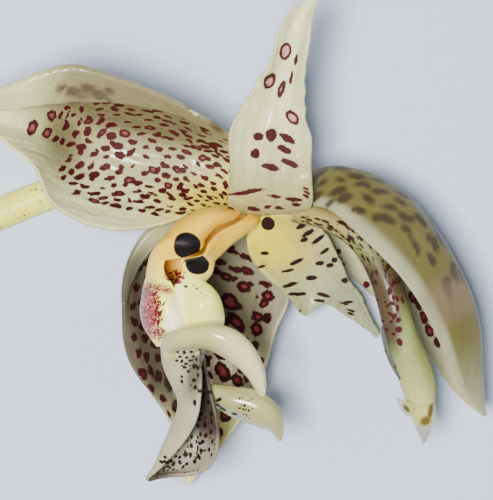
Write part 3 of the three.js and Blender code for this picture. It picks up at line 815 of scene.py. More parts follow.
lateralSepalFar = {
    "name": "lateralSepalFar", "node": "lateral_sepal_far", "slot": "lateral_sepal",
    "left": [
        [5.6, 6.8, 18], [-4.5, 7, 22], [-13.7, 1.1, 23.5], [-17.1, -9.2, 20.5],
        [-15.4, -19.5, 15], [-11.6, -28.3, 11], [-6.6, -37.5, 9], [-4.9, -51.2, 8],
    ],
    "middle": [
        [7.3, 5.1, 15], [1.4, 1.1, 8], [-1.9, -7.3, 3], [-2.4, -15.7, 0.9], [-2.4, -24.1, 0.4],
        [-2.4, -33.5, 1.4], [-2.4, -43, 4], [-4.7, -51.4, 8],
    ],
    "right": [
        [9.4, 4.1, 15], [13.2, -1, 11], [16.5, -7.9, 13], [16.8, -12.5, 15], [14.2, -18.8, 15],
        [10.7, -30, 13], [3.1, -42.6, 10], [-4.2, -51.2, 8],
    ],
    "leftFold": [
        [6.5, 6.4, 19.5], [-3.6, 4.5, 23.5], [-10.5, 0.5, 24.5], [-16.2, -8.1, 22],
        [-17.8, -19.5, 18], [-13.9, -28.9, 15], [-7.9, -37.9, 12], [-5, -51.2, 8.5],
    ],
    "fullness": 2.4, "thickness": (0.7, 1.3), "grid": (260, 140), "seed": 21,
    "wave": (0.12, 13),
    "marks": stampOver([
        (230, 245, 3.5, 1.7, 165), (232, 250, 5.5, 2, 160), (247.6, 256.6, 6, 2.4, 155, 1),
        (221, 260.7, 6, 3, 165), (236.4, 268.4, 6, 3, 165, 1), (248.7, 270.4, 6.5, 3.4, 158, 1),
        (214, 268.8, 6.5, 2.6, 155), (227.7, 276, 7.5, 3.8, 160, 1), (236.4, 277.5, 2.6, 1.4),
        (244.6, 286.2, 6.5, 4.4, 160, 1), (252.2, 284.2, 3.2, 2, 155), (266.5, 284.2, 5.2, 3.2, 165, 1),
        (203.8, 282.6, 5, 3.6, 150), (230.8, 301.5, 9, 6.5, 150, 1), (239.5, 305, 4.5, 3, 140),
        (258.9, 297.4, 2.3, 2), (269.6, 296, 5.6, 4.4, 140, 1), (265.5, 303.6, 4.6, 4, 20, 1),
        (238, 322.4, 10, 5, 130, 1), (227.8, 321, 3.4, 2.6, 120), (258.9, 317.3, 5.4, 4.4, 140, 1),
        (268.6, 317.9, 4.6, 3.4, 90, 1), (257.9, 329.6, 6, 5.4, 120, 1), (256.8, 346, 4.2, 3.4, 90),
        (248.2, 339.3, 1.8, 1.6), (247, 355, 4.5, 3, 60), (262, 361, 3.4, 2.6, 80),
        (144.6, 261.7, 4.6, 2.6, 30), (146, 276, 6.5, 2.4, 62), (137, 268, 3.4, 2.4, 60),
        (144.6, 288.8, 2.8, 2.6), (151, 286, 4.2, 2.8, 60), (140, 301, 5.4, 3.2, 85, 1),
        (134, 288, 4.4, 2.4, 75), (131, 306, 4.4, 2.6, 85), (141, 325.5, 5.4, 3.4, 85, 1),
        (132, 322, 4.4, 2.6, 95), (133, 338, 4.4, 2.6, 100), (143, 338, 4, 3.4, 90),
        (152.5, 343.3, 5.4, 4.2, 110, 1), (158, 341.7, 3.4, 2.4, 60), (144.3, 357, 5, 2.4, 105),
        (156.3, 358, 4, 3, 70), (163.3, 356.3, 3.4, 2.4, 80), (137, 353, 3.6, 2.2, 100),
        (142, 374, 4.8, 3.4, 110, 1), (149.2, 372, 5.6, 2.2, 110), (156.3, 377.5, 5.4, 3.4, 100, 1),
        (165.5, 368.3, 5, 4, 100, 1), (166, 382, 9.5, 3.2, 105, 1), (150, 389, 4.6, 2.4, 115),
        (174.7, 392.7, 4.4, 2.6, 100), (161, 399, 4, 2.2, 120), (174.7, 407, 5.6, 4, 100, 1),
        (168, 415, 3.4, 2, 115), (205, 360.7, 6.4, 5, 140, 1), (211, 356.9, 3.2, 1.8, 165),
        (223.5, 355.2, 7, 4.4, 160, 1), (223.5, 372, 9, 6, 115, 1), (211, 374.8, 4.4, 2, 115),
        (238.7, 380.7, 6, 5, 120, 1), (244, 370.4, 3.8, 3.2, 60), (249, 378, 4, 3, 60),
        (227, 340, 5, 3, 150), (204, 336, 5, 3.4, 150, 1), (190, 318, 6, 4, 140, 1),
        (176, 330, 5, 3.6, 120, 1), (227.3, 416, 6, 5.4, 60, 1), (219.7, 433.3, 5.6, 4.2, 100, 1),
        (206, 424, 4.6, 3.6, 100, 1), (204, 445, 5, 3.4, 110, 1), (190, 455, 4, 3, 110),
        (184, 436, 4.4, 3, 100), (195, 405, 5, 3.6, 110, 1), (205, 395, 4, 3, 120), (216, 398, 4.4, 3, 120),
        (167.5, 232.7, 5, 1.4, 35), (161, 239.8, 8, 3.4, 42), (157, 246, 4, 1.6, 50),
    ], swell=1.2),
    "backMarks": scatterOver(
        seed=8, tries=1500, length=(4, 50), halfLength=(1.1, 2.2), slimness=(0.5, 0.8),
        spacing=4.4, turnSpread=0.4, turn=lambda s, w: 0.1, inside=lambda s, w: abs(w) < 15),
    "warm": ease("down", 395, 440),
    # blush: a pink patch under the near horn, the sepal's own colour, and a pale strip at the right margin,
    # painted light
    "blush": blots((214, 370, 26, 34, -20, 0.5), (278, 330, 12, 40, 15, 0.5, 0.6)),
    # tint: painted shade in the deep hollow at the left, in the middle and in the shadow under the near horn
    "tint": blots((140, 325, 30, 90, 12, 0.4, 0.95), (238, 292, 42, 62, 12, 0.6, 0.7),
                  (250, 366, 13, 24, 20, 0.5, 0.85)),
    "fade": ease("along", 0.5, 0.95),
    "look": look(field=(0.43, 0.42, 0.26), warm=(0.85, 0.82, 0.36), blush=(0.74, 0.62, 0.46),
                 tint=(0.085, 0.076, 0.050), spot=(0.032, 0.0003, 0.002), core=(0.24, 0.03, 0.045),
                 coat=0.08, band=0.8, wobble=1.7, haloColour=(0.24, 0.11, 0.08),
                 outside=(0.34, 0.33, 0.18), outsideTip=(0.55, 0.53, 0.24)),
}

dorsalSepal = {
    "name": "dorsalSepal", "node": "dorsal_sepal",
    "left": [
        [19.5, 6.2, 16], [24.1, 1.5, 7], [30.2, -5.6, 2.2], [36.3, -11.1, 0.1], [41.5, -16.1, 0.3],
        [46.8, -22.2, 3], [52.7, -30.8, 9], [58.3, -36, 18],
    ],
    "middle": [
        [18.2, 11.2, 18], [25.8, 15.4, 21], [37.3, 12, 21], [45.7, 4.9, 21], [52.5, -5.6, 21],
        [56.7, -16.7, 21], [57.9, -29.3, 20], [58.8, -36, 19],
    ],
    "right": [
        [18.6, 8.3, 22], [24.9, 7.8, 31], [31.2, 2.8, 36], [38.4, -4.3, 38], [43.8, -11.3, 37],
        [48.3, -19.5, 34], [52.9, -29.1, 28], [58.5, -35.8, 20],
    ],
    "fullness": 2.8, "thickness": (0.7, 1.3), "grid": (260, 140), "seed": 31,
    "wave": (0.1, 15),
    "marks": bothMarks(
        scatterOver(
            seed=15, tries=1200, length=(8, 34), halfLength=(0.8, 1.4), slimness=(0.5, 0.75),
            spacing=3.4, turnSpread=0.35, ringFrom=1.2, lobed=0.4,
            scale=lambda s, w: 0.95, inside=lambda s, w: abs(w) < 9),
        stampOver([
            (366.7, 283.5, 3.6, 3.2, 90), (338.4, 250.6, 3.2, 2.4, 90), (335, 258.7, 2.2, 1.9, 20),
            (340.7, 258.3, 2, 1.6, 90), (343.8, 263.3, 1.8, 1.5), (413.5, 296.6, 7, 4, 120, 1),
            (419.6, 305.8, 4.8, 2.8, 115), (425, 317, 6.6, 3.6, 110, 1), (430.3, 330.3, 7, 4, 110, 1),
            (438.4, 342.5, 6.5, 3, 115), (412.7, 327.2, 2, 1.4, 120), (397, 277, 6, 2.4, 125),
        ])),
    "backMarks": scatterOver(
        seed=16, tries=6000, length=(3, 48), halfLength=(1.3, 2.2), slimness=(0.45, 0.65),
        spacing=2.9, turnSpread=0.25, scale=lambda s, w: 0.9 + 0.006 * s,
        inside=lambda s, w: w < 17.5 - 0.16 * abs(s - 24)),
    "warm": ease("along", 0.3, 0.0, 0.3),
    # tint: a darker patch on the outer face, partly its olive colour and partly painted shade
    "tint": blots((452, 300, 20, 40, 110, 0.6, 0.45)),
    "fade": combined(np.maximum, ease("along", 0.70, 1.0), ease("aside", 0.86, 0.95, 0.95)),
    # the very dark outside colour is partly the sepal's olive colour and partly painted shade on a face
    # turned away from the light; the pale near margin given by fade is partly painted light
    "look": look(field=(0.42, 0.42, 0.24), warm=(0.5, 0.45, 0.15), tint=(0.20, 0.14, 0.10),
                 outside=(0.115, 0.100, 0.026), outsideTip=(0.34, 0.345, 0.20), wobble=0.8,
                 ghostColour=(0.036, 0.022, 0.010), ghost=0.9, ghostSoftness=0.8,
                 roughness=0.5, coat=0.06),
}

petalNear = {
    "name": "petalNear", "node": "petal_near", "slot": "petal", "facing": -1,
    "left": [
        [9.8, 8.3, 19], [5.4, 7, 26], [4.6, 9.9, 33], [5, 16.9, 36], [5, 23.4, 38],
        [8.4, 29.9, 39], [13.2, 37.9, 41], [15.5, 45.2, 42], [21.4, 51.3, 40],
    ],
    "middle": [
        [12.8, 8.1, 19], [12.8, 6.8, 26], [12.8, 9.5, 32], [12.8, 16.9, 34], [13.4, 23.4, 35],
        [14.9, 29.9, 36], [16.8, 37.7, 38], [18.6, 45, 40], [22.2, 51.5, 40],
    ],
    "right": [
        [16.1, 8.3, 19], [20.7, 7.4, 27], [21.8, 10.8, 32], [21.4, 17.3, 34], [21.4, 22.5, 36],
        [19.9, 28, 38], [20.3, 36.4, 41], [21.2, 44.6, 42], [23.1, 51.3, 40],
    ],
    "fullness": 2.4, "thickness": (0.7, 1.1), "grid": (260, 90), "seed": 41,
    "wave": (0.35, 8),
    "marks": stampOver([
        (285, 51, 7.5, 5.5, 70, 1), (269, 80, 7, 4.5, 60, 1), (281, 89, 7.5, 3, 70, 1),
        (293, 117, 7, 4.5, 135, 1), (297, 60, 5, 1.6, 80), (292, 76, 6, 1.4, 80), (258, 136, 4.5, 3.2, 10),
        (271, 135, 5.5, 4.5, 90), (287, 138, 7, 3, 150), (284, 149, 6, 2.8, 155), (255, 153, 4, 4.2),
        (270, 167, 7.5, 2.8, 165), (290, 163, 7.5, 2.6, 155), (248, 191, 15, 1.8, 8),
        (274, 195, 5, 1.5, 175), (294, 198, 7, 1.6, 175), (296, 203, 4, 1.4, 175),
        (253.5, 207, 6.5, 1.8, 170), (267.5, 205, 4, 1.5, 10), (278.5, 205.6, 4.5, 1.4, 175),
        (306, 188, 3, 1.4, 150), (306, 191.5, 3, 1.2, 150), (305, 195, 3, 1.2, 150),
        (231, 208, 4, 2.4, 160),
    ], swell=1.25),
    "warm": ease("down", 95, 205),
    "blush": blots((258, 120, 9, 50, -12, 0.6, 0.8)),
    "fade": ease("along", 0.3, 0.8),
    "look": look(field=(0.70, 0.72, 0.42), warm=(0.42, 0.375, 0.135), blush=(0.70, 0.66, 0.36),
                 outside=(0.40, 0.42, 0.18), ghost=0.3, wobble=1.0, band=0.58, halo=0.3, veins=0.24,
                 core=(0.56, 0.28, 0.28), haloColour=(0.55, 0.36, 0.24), bump=1.0, grain=0.0003,
                 roughness=0.32, coat=0.3),
}

petalFar = {
    "name": "petalFar", "node": "petal_far", "slot": "petal",
    "left": [
        [9, 4.5, 21], [8.6, 0.6, 22], [10.9, -4.8, 19.5], [17.2, -10.8, 15.5], [20.7, -14.8, 13],
        [24.5, -12.5, 12], [28.9, -14.2, 10], [32.7, -16.9, 8], [36.3, -19.7, 7],
    ],
    "middle": [
        [9.9, 5.2, 22.5], [12.8, 2.6, 21.5], [16.3, -1, 18], [20.1, -3.9, 15], [23.3, -6.4, 13],
        [26.4, -9, 12], [29.6, -11.5, 10], [32.9, -14.8, 9], [36.5, -19.5, 7],
    ],
    "right": [
        [11.5, 6.2, 24.5], [16.3, 6.3, 26.5], [21.6, 4.9, 23], [25.4, 1.5, 19.5], [27.9, -3.3, 17],
        [29.8, -7.3, 15], [31.7, -9.8, 13], [34.2, -14, 11], [36.7, -19.2, 8],
    ],
    "fullness": 2.4, "thickness": (0.7, 1.1), "grid": (260, 100), "seed": 51,
    "wave": (0.4, 7),
    "marks": stampOver([
        (268.5, 222, 5.6, 5.6), (301.6, 224, 5, 2.2, 30), (307.6, 231.6, 6, 2, 32),
        (303.8, 238, 3.5, 2, 20), (318.4, 238, 6.5, 1.8, 38), (327.4, 231.6, 2.4, 1.4, 20),
        (325, 250, 4.5, 1.6, 30), (263.7, 252.5, 4, 1.6, 5), (296, 260.4, 6, 1.8, 25),
        (320, 262, 4.5, 2, 10), (330.7, 264, 3.4, 2, 15), (335, 259, 2.6, 2.2, 20), (287, 270, 6, 1.5, 14),
        (311, 277, 5.5, 2.2, 6), (261, 266, 3, 1.4, 10), (288.7, 285, 7, 1.8, 18), (297, 294, 8, 1.6, 3),
        (323, 295, 6, 1.8, 165), (319, 301, 4.5, 1.4, 170), (298, 310.5, 2, 1.3, 150),
        (349, 301, 5, 1.5, 3), (344, 303, 4.5, 1.4, 175), (350.6, 310, 4.5, 1.3, 172),
        (350.6, 314, 4, 1.3, 168), (346, 279, 3.4, 2.2, 10),
    ], swell=1.2),
    "warm": blots((262, 232, 42, 34, -30, 0.7)),
    "tint": ease("slant", 560, 640, 0.9),
    "fade": ease("along", 0.3, 0.8),
    "look": look(field=(0.44, 0.43, 0.19), warm=(0.78, 0.62, 0.03), tint=(0.32, 0.35, 0.21),
                 outside=(0.40, 0.40, 0.18), spot=(0.016, 0.001, 0.002), ghost=0.3, wobble=0.45, band=0.6,
                 softness=0.12, halo=0.15, bump=1.0, grain=0.0003),
}

for form in (lateralSepalNear, lateralSepalFar, dorsalSepal, petalNear, petalFar):
    growBlade(form)

# lip

hypochile = {
    "name": "lipHypochile", "node": "lip_hypochile",
    "stations": [
        [[7.2, 7.6, 25.8], [6, 8.2, 24.5], [6.3, 7.8, 22], [8.1, 6.4, 20.5], [9.8, 5.9, 22],
         [10.6, 5.9, 24.2], [9.2, 6.7, 26]],
        [[5.3, 5.4, 31.2], [4, 6.8, 32.4], [2.8, 7.5, 28], [5.5, 5.6, 22.6], [8.6, 4.2, 25],
         [9.4, 4.4, 29], [6.9, 4.9, 32]],
        [[1.9, 4, 35.5], [0.8, 5.8, 37.5], [-0.6, 7, 32.5], [1.4, 4.5, 25.5], [4.4, 1.3, 29],
         [4.8, 0.8, 33.5], [2.9, 2.6, 37]],
        [[-0.6, 1, 38.5], [-2.5, 3.2, 40.5], [-5.1, 4.9, 35.5], [-2.1, 2, 26.5], [1.5, -1.4, 31],
         [2.3, -1.6, 36], [0.5, -0.1, 40]],
        [[-1.6, -0.9, 41], [-4.3, 0.8, 42.5], [-8, 1.8, 38], [-5.3, -1, 27], [0, -2.9, 32],
         [1.2, -3, 37], [-0.6, -2.1, 41.5]],
        [[-5.8, -2.5, 41], [-8.6, -0.6, 41], [-10.3, -1.3, 36.5], [-6, -3.5, 27], [-0.7, -4.6, 32.5],
         [0.8, -4.3, 37.8], [-3.5, -2.9, 42]],
        [[-8.7, -3.2, 39], [-11.2, -3, 36.5], [-11, -4.7, 31], [-6.3, -6, 26], [-1.5, -6.6, 33],
         [0.2, -5.6, 38], [-4.7, -4.1, 41.5]],
        [[-8.7, -5.9, 40], [-11.6, -6, 37.5], [-11.6, -7.6, 32], [-7, -8.1, 25.5], [-1.9, -8.1, 34],
         [-0.9, -7.1, 40], [-4.9, -6, 42]],
        [[-7.4, -7.7, 41.3], [-11.4, -8.3, 40], [-12.4, -9.4, 33], [-6.8, -10, 25], [-0.3, -9.6, 35],
         [-0.3, -8.3, 41.5], [-6.1, -8.1, 42]],
        [[-6.3, -10.2, 41.8], [-9.9, -10.2, 43], [-13.1, -11.7, 34], [-6.3, -12.1, 25], [1.8, -11.5, 35],
         [0.4, -10.2, 43], [-5.9, -10.3, 41.8]],
        [[-5.5, -12.3, 41.5], [-8.9, -13.4, 43.5], [-13.3, -14.2, 35], [-5.7, -14.4, 26], [2.9, -14, 36],
         [0, -12.9, 43.8], [-5.1, -12.4, 41.5]],
        [[-4.7, -15.7, 41.5], [-7.8, -16.7, 43], [-12.2, -17.6, 35.5], [-4.7, -17.4, 28], [2.9, -16.5, 36],
         [0.2, -16.1, 42.5], [-4.2, -15.7, 41.5]],
        [[-4, -19.5, 40], [-6.3, -20.1, 40.5], [-9.9, -20.7, 37], [-3.8, -20.3, 31], [1.4, -19.5, 36],
         [-0.7, -19.2, 40], [-3.4, -19.5, 40]],
    ],
    "thickness": (0.8, 1.3), "grid": (260, 150), "seed": 71, "relief": 0.06, "specksInSpace": True,
    "marks": noMarks,
    "backMarks": stampOver([
        (186.7, 246, 12.4, 12), (196.2, 264.3, 11.4, 11.2), (178.7, 282, 2.8, 2.4),
        (186, 287, 2.2, 1.3, 155), (197, 289.8, 1.4, 1, 140), (194, 286.5, 0.9, 0.7),
        (200.5, 294, 0.8, 0.7), (203, 297, 0.9, 0.7), (206, 296, 0.7, 0.6), (198, 296.5, 0.7, 0.6),
        (204, 300.5, 0.7, 0.6), (158.5, 308, 3.4, 1.2, 60), (161.5, 313, 5, 1.3, 65),
        (164.5, 303.5, 3.4, 1, 55), (159.5, 322, 3.6, 1.4, 75), (163, 319, 2.4, 0.9, 65),
        (157.5, 316, 2.2, 0.8, 70),
    ], above=33.0),
    "warm": ease("down", 300, 275),
    # blush: a white patch on the cheek beside the crease, partly its own white and partly painted light
    "blush": blots((175, 318, 8, 24, -15, 0.6, 0.95)),
    "tint": blots((150, 311, 9, 26, 0, 0.4), (157, 331, 6, 6, 0, 0.5, 0.8), (162, 291, 9, 3, -15, 0.6, 0.75)),
    "fade": ease("down", 248, 292),
    "speck": blots((151, 311, 12, 29, 0, 0.25), (160, 332, 10, 7, -40, 0.3), (175, 276, 10, 9, 0, 0.3),
                   (165, 290, 13, 4, -12, 0.4, 0.8)),
    "look": look(field=(0.62, 0.50, 0.18), warm=(0.80, 0.42, 0.05), spot=(0.002, 0.0006, 0.001),
                 outside=(1.0, 0.57, 0.03), outsideTip=(0.98, 0.94, 0.20), blush=(0.97, 0.95, 0.72),
                 blushBack=1.0, tint=(0.62, 0.19, 0.15), ghost=0.0, halo=0.0, outerMarks=1.0,
                 speckRate=(2.5, 2.5, 2.5), speckSize=0.78, speckColour=(0.16, 0.001, 0.008),
                 wobble=0.12, softness=0.16, roughness=0.28, subsurface=0.15, coat=0.35),
}
growBlade(hypochile)

epichile = {
    "name": "lipEpichile", "node": "lip_epichile", "facing": -1,
    "left": [
        [-0.9, -22, 35], [0.2, -27.6, 36.5], [1.4, -32.9, 37.5], [2.3, -38.4, 37],
        [1.6, -43.8, 36], [-1.7, -47.1, 35], [-7, -47.6, 35], [-12, -48.6, 36],
    ],
    "middle": [
        [-4.2, -22, 35], [-3.2, -27.2, 33], [-2.4, -32.5, 31.5], [-2.8, -38.4, 31.5],
        [-4.2, -43.4, 32], [-7.2, -46.1, 33], [-9.7, -47.2, 34], [-12.2, -48.4, 36],
    ],
    "right": [
        [-8.7, -21.3, 38], [-7.8, -26.2, 38], [-5.3, -31.8, 39], [-6.6, -37.1, 38],
        [-8.9, -42.1, 37], [-10.1, -45.1, 37], [-11.2, -46.8, 36.5], [-12.4, -48.2, 36],
    ],
    "rightFold": [
        [-1.9, -21.1, 41], [-1.1, -26.2, 43], [-1.3, -31.2, 43], [-2.4, -36.3, 42],
        [-5.5, -41.3, 40], [-8.2, -44.4, 38], [-10.3, -46.5, 37], [-12.4, -48.3, 36],
    ],
    "fullness": 2.4, "thickness": (0.8, 1.5), "grid": (240, 120), "seed": 61,
    "wave": (0.1, 8), "relief": 0.08,
    "marks": stampOver([
        (176, 348.7, 2.4, 1.4, 20), (183, 345.8, 2.2, 0.9), (179, 352.5, 1.4, 1),
        (185.5, 353.6, 1.6, 1.1, 20), (181, 357, 1.6, 1.1, 160), (187.7, 358, 1.5, 1.1, 30),
        (192, 352.5, 1.7, 1.2), (194, 357, 1.6, 1.2, 20), (178, 360.7, 1.6, 1.2), (191, 361, 1.5, 1.3),
        (197.5, 360, 1.7, 1.3, 90), (187.2, 364, 1.6, 1.3), (186.3, 367.7, 1.5, 1.2),
        (189.6, 371.5, 1.5, 1.4), (195, 366, 1.9, 1.5, 45), (198.6, 368, 2.2, 1.4, 90),
        (202.9, 368, 3, 1.9, 90), (199, 375.3, 2.4, 1.2, 90), (195.3, 380.2, 2, 1.6, 20),
        (205, 376.4, 2.6, 1.5, 90), (204.7, 384, 2.6, 1.5, 100), (196.4, 387.2, 2, 1.4, 80),
        (199.6, 391, 2, 1, 90), (202.9, 396, 2.3, 1.8, 60), (206.7, 392.7, 1.6, 1.2, 90),
        (210, 392, 1.6, 0.8, 90), (196, 402.4, 2.6, 1.4, 90), (201.6, 406.8, 2.4, 1.8, 80),
        (210.3, 402, 2.2, 1.1, 90), (203.4, 413.8, 2, 1.8), (201.3, 419.2, 2, 1.8, 40),
        (198, 416.5, 1.6, 0.8, 90), (199, 425.7, 2.3, 2, 90), (207.2, 424.7, 2.8, 1.5, 85),
        (213.2, 413.3, 2.4, 1.1, 90), (213.5, 421.4, 2.4, 1, 90), (213.2, 431.7, 2.3, 1, 90),
        (202.4, 434.4, 2, 1.5, 90), (208, 435.5, 2.3, 1.5, 70), (198.6, 437.7, 1.6, 1.3),
        (191.5, 437, 1.9, 1.5, 90), (197, 441.5, 2, 1.2, 120), (201.3, 443.6, 1.9, 1.4, 150),
        (204.7, 442, 2, 1.4, 60), (214, 441.5, 2.2, 1, 80), (191.3, 445.8, 2.2, 1.5, 100),
        (199, 449, 3, 1.1, 90), (202.9, 451.2, 2.1, 1.5, 90), (206.5, 450.7, 1.3, 1),
        (211, 450, 2.2, 1.1, 80), (185, 454.5, 2.5, 2.2, 90), (190.4, 455, 2.3, 1.7, 110),
        (178.7, 457.2, 1.8, 1.7, 30), (174.2, 455.6, 1.4, 1.3), (179.3, 462.6, 2.5, 1.5, 120),
        (187.2, 464.8, 1.9, 1.8), (200.4, 457.7, 2.8, 1.5, 110), (195.9, 462.6, 2.1, 1.7, 60),
        (183.4, 468, 2, 1.4, 70), (213, 455, 2, 0.8, 80), (172.5, 463.7, 2.5, 2, 60),
        (169.3, 460, 1.7, 1.5), (165.5, 461, 1.7, 1.5), (166, 465.3, 1.7, 1.4), (162.2, 461.5, 1.4, 1.2),
        (162.2, 467, 1.2, 1), (162.8, 470.8, 1.7, 1.3, 60), (167, 471.3, 1.6, 1.4),
        (172.5, 470.2, 2.1, 1.5, 20), (168.7, 467.5, 1.6, 1.4), (166, 456.7, 1.4, 1.2),
        (157.9, 475, 1.6, 1, 160), (152.5, 476.7, 1.1, 0.8), (156.3, 478.9, 1.3, 0.8, 20),
    ], swell=1.2),
    # blush: painted shade on the lamina beside the band, carried onto the outer face as well
    "blush": combined(
        np.maximum, combined(np.multiply, ease("aside", 0.55, 0.2), ease("down", 340, 365)),
        blots((197, 372, 9, 26, -12, 0.6, 0.85))),
    # tint: a paler lower end of the lamina, painted light where it is lit
    "tint": combined(np.multiply, ease("aside", 0.55, 0.2), blots((196, 459, 30, 20, 20, 0.5, 0.9))),
    "speck": combined(np.maximum, ease("aside", 0.5, 0.3, 0.7), blots((188, 370, 15, 28, -10, 0.4, 0.9))),
    "look": look(field=(0.37, 0.36, 0.24), blush=(0.058, 0.046, 0.036), tint=(0.32, 0.26, 0.21),
                 spot=(0.005, 0.001, 0.0012), outside=(0.38, 0.36, 0.24), outsideTip=(0.40, 0.37, 0.26),
                 ghost=0.0, outerMarks=1.0, blushBack=1.0, speckColour=(0.012, 0.003, 0.003),
                 halo=0.2, haloColour=(0.20, 0.12, 0.09), wobble=0.3, softness=0.12,
                 roughness=0.46, coat=0.06, speckRate=(0.9, 1.1, 1.0), speckSize=0.42),
}
growBlade(epichile)

hornLook = look(field=(0.50, 0.48, 0.19), warm=(0.72, 0.64, 0.34), outside=(0.44, 0.42, 0.16),
                outsideTip=(0.50, 0.46, 0.20), spot=(0.010, 0.003, 0.003), outerMarks=1.0,
                ghost=0.0, halo=0.0, wobble=0.3, roughness=0.24, coat=0.6, subsurface=0.25,
                bump=0.12, veins=0.1, speckRate=(1.6, 1.8, 1.0), speckSize=0.42)

hornNear = {
    "name": "lipHornNear", "node": "lip_mesochile", "facing": -1,
    "left": [
        [-8.8, -20.5, 40], [-8.4, -18.8, 42], [-6.1, -17.4, 44.5], [-1.5, -16.3, 46.5],
        [3.1, -16.6, 47.5], [7.5, -18.8, 47], [10.5, -22.8, 46], [11.7, -27, 45], [11.6, -30.6, 44],
    ],
    "middle": [
        [-8.2, -21.3, 41], [-7.6, -20.1, 43.5], [-5.3, -19, 46], [-1.2, -18.3, 48],
        [2.9, -18.9, 49], [6.8, -21.1, 48.5], [9.6, -24.5, 47.5], [11.1, -27.9, 46], [11.5, -30.6, 44],
    ],
    "right": [
        [-7.4, -21.8, 40], [-6.3, -21.3, 41], [-4.5, -21, 43], [-0.9, -20.7, 45],
        [2.5, -21.8, 46], [5.8, -23.8, 46], [8.6, -26.5, 45.5], [10.2, -28.9, 44.5], [11.4, -30.6, 44],
    ],
    "fullness": 2.0, "thickness": (1.0, 2.2), "grid": (180, 60), "seed": 81, "relief": 0.05,
    "marks": noMarks,
    "warm": ease("right", 205, 250),
    "look": hornLook,
}

hornFar = {
    "name": "lipHornFar", "node": "lip_mesochile", "facing": -1,
    "left": [
        [-0.3, -29.1, 33], [2.7, -29.3, 33.5], [6, -29.7, 34], [9.4, -30.1, 34], [12.1, -31.3, 34],
        [14.2, -33.3, 33.5], [15.5, -35.8, 32.5], [15.6, -38.4, 31.5], [15.2, -40.5, 30.5],
    ],
    "middle": [
        [-0.6, -30, 33.5], [2.3, -31.2, 34.3], [5.2, -32.4, 35.2], [8.2, -33.1, 35.5], [10.9, -34.2, 35.5],
        [13, -35.7, 34.8], [14.4, -37.2, 33.5], [15.1, -39, 32], [15.2, -40.5, 30.5],
    ],
    "right": [
        [-0.9, -31, 31], [1.8, -33.1, 31.5], [4.4, -34.8, 32], [7.1, -36, 32.3], [9.6, -37, 32.3],
        [11.9, -37.8, 32], [13.5, -38.5, 31.5], [14.4, -39.5, 31], [15.1, -40.5, 30.5],
    ],
    "fullness": 2.0, "thickness": (0.9, 1.8), "grid": (160, 60), "seed": 82, "relief": 0.05,
    "marks": stampOver([
        (220.8, 398, 2.4, 1.3, 10), (219.2, 402.6, 2.6, 1.4, 160), (224.6, 406.6, 3.2, 1.4, 150),
        (235.4, 411.4, 2.4, 1.3, 165),
    ], swell=1.3),
    "warm": ease("right", 225, 250),
    "speck": combined(np.multiply, band("right", 236, 254, 5), band("down", 396, 418, 4)),
    "look": {**hornLook, "field": (0.34, 0.335, 0.13), "warm": (0.40, 0.38, 0.16)},
}

mesochile = {
    "name": "lipMesochile", "node": "lip_mesochile",
    "path": [[-3.6, -18.4, 35], [-4, -20.3, 35.5], [-4.2, -22.4, 36], [-3.2, -26, 34.5], [-1, -30, 32.5]],
    "width": [4.2, 4.2, 3.8, 2.8, 1.6], "depth": [3.0, 4.4, 3.4, 2.2, 1.2],
    "grid": (100, 56), "dome": (1.2, 1.2), "marks": noMarks,
    "speck": ease("down", 336, 344),
    # the dark brown field is painted shade under the arch of the near horn; the dots are its own
    "look": look(field=(0.22, 0.15, 0.07), speckRate=(1.4, 1.8, 1.0), speckSize=0.5,
                 speckColour=(0.05, 0.01, 0.01)),
}

lipTooth = {
    "name": "lipTooth", "node": "lip_mesochile",
    "path": [[-2.0, -24.4, 37.5], [-2.1, -23, 40.5], [-1.8, -22.2, 42], [-1.5, -21.6, 43]],
    "width": [0.95, 0.75, 0.45, 0.12], "depth": [0.7, 0.5, 0.35, 0.12],
    "grid": (50, 30), "dome": (0.4, 0.1), "marks": noMarks, "look": hornLook,
}

lipKnob = {
    "name": "lipKnob", "node": "lip_mesochile",
    "path": [[-6.9, -22.9, 38.5], [-7.7, -22.4, 40], [-8, -22, 41]],
    "width": [1.3, 1.3, 0.9], "depth": [1.3, 1.3, 0.9],
    "grid": (40, 40), "dome": (0.8, 0.7), "marks": noMarks, "look": hornLook,
}

for form in (hornNear, hornFar):
    growBlade(form)
for form in (mesochile, lipTooth, lipKnob):
    growTube(form)

# pedicel and column

pedicel = {
    "name": "ovaryPedicel", "node": "ovary_pedicel",
    "path": [
        [-57.4, 1.8, 3.4], [-43.5, 7.6, 3.3], [-33.6, 11.6, 3.2], [-23.6, 15.4, 3.1],
        [-13.1, 17.5, 3.4], [-3.6, 15.6, 6.5], [3.1, 12, 11.5], [9, 8.9, 16], [17.4, 7.6, 18.5],
    ],
    "width": [3.5, 3.45, 3.35, 3.3, 3.3, 3.3, 3.8, 4.8, 3.6],
    "depth": [3.5, 3.45, 3.35, 3.3, 3.3, 3.3, 3.8, 4.6, 3.6],
    "grid": (220, 72), "dome": (0.5, 1.2), "marks": noMarks,
    "speck": everywhere,
    "look": look(field=(0.88, 0.84, 0.12), speckRate=(0.9, 1.0, 1.0), speckSize=0.24,
                 speckColour=(0.08, 0.05, 0.02), roughness=0.45, coat=0.05, subsurface=0.15),
}
growTube(pedicel)


wingForm = {
    "comesIn": (0.66, 0.82), "goesOut": (1.0, 0.93),   # shares of the column's length
    "sharpness": 5, "wider": 0.15, "thinner": 0.3,
}


def columnWings(u, t):
    # the near wing: over the lower part, the section's left flank, which is where the cosine
    # is negative, is drawn out and thinned by the fifth power of that cosine
    wing = smoothStep(u, *wingForm["comesIn"]) * smoothStep(u, *wingForm["goesOut"])
    flank = wing * np.clip(-np.cos(t), 0, 1) ** wingForm["sharpness"]
    return 1 + wingForm["wider"] * flank, 1 - wingForm["thinner"] * flank


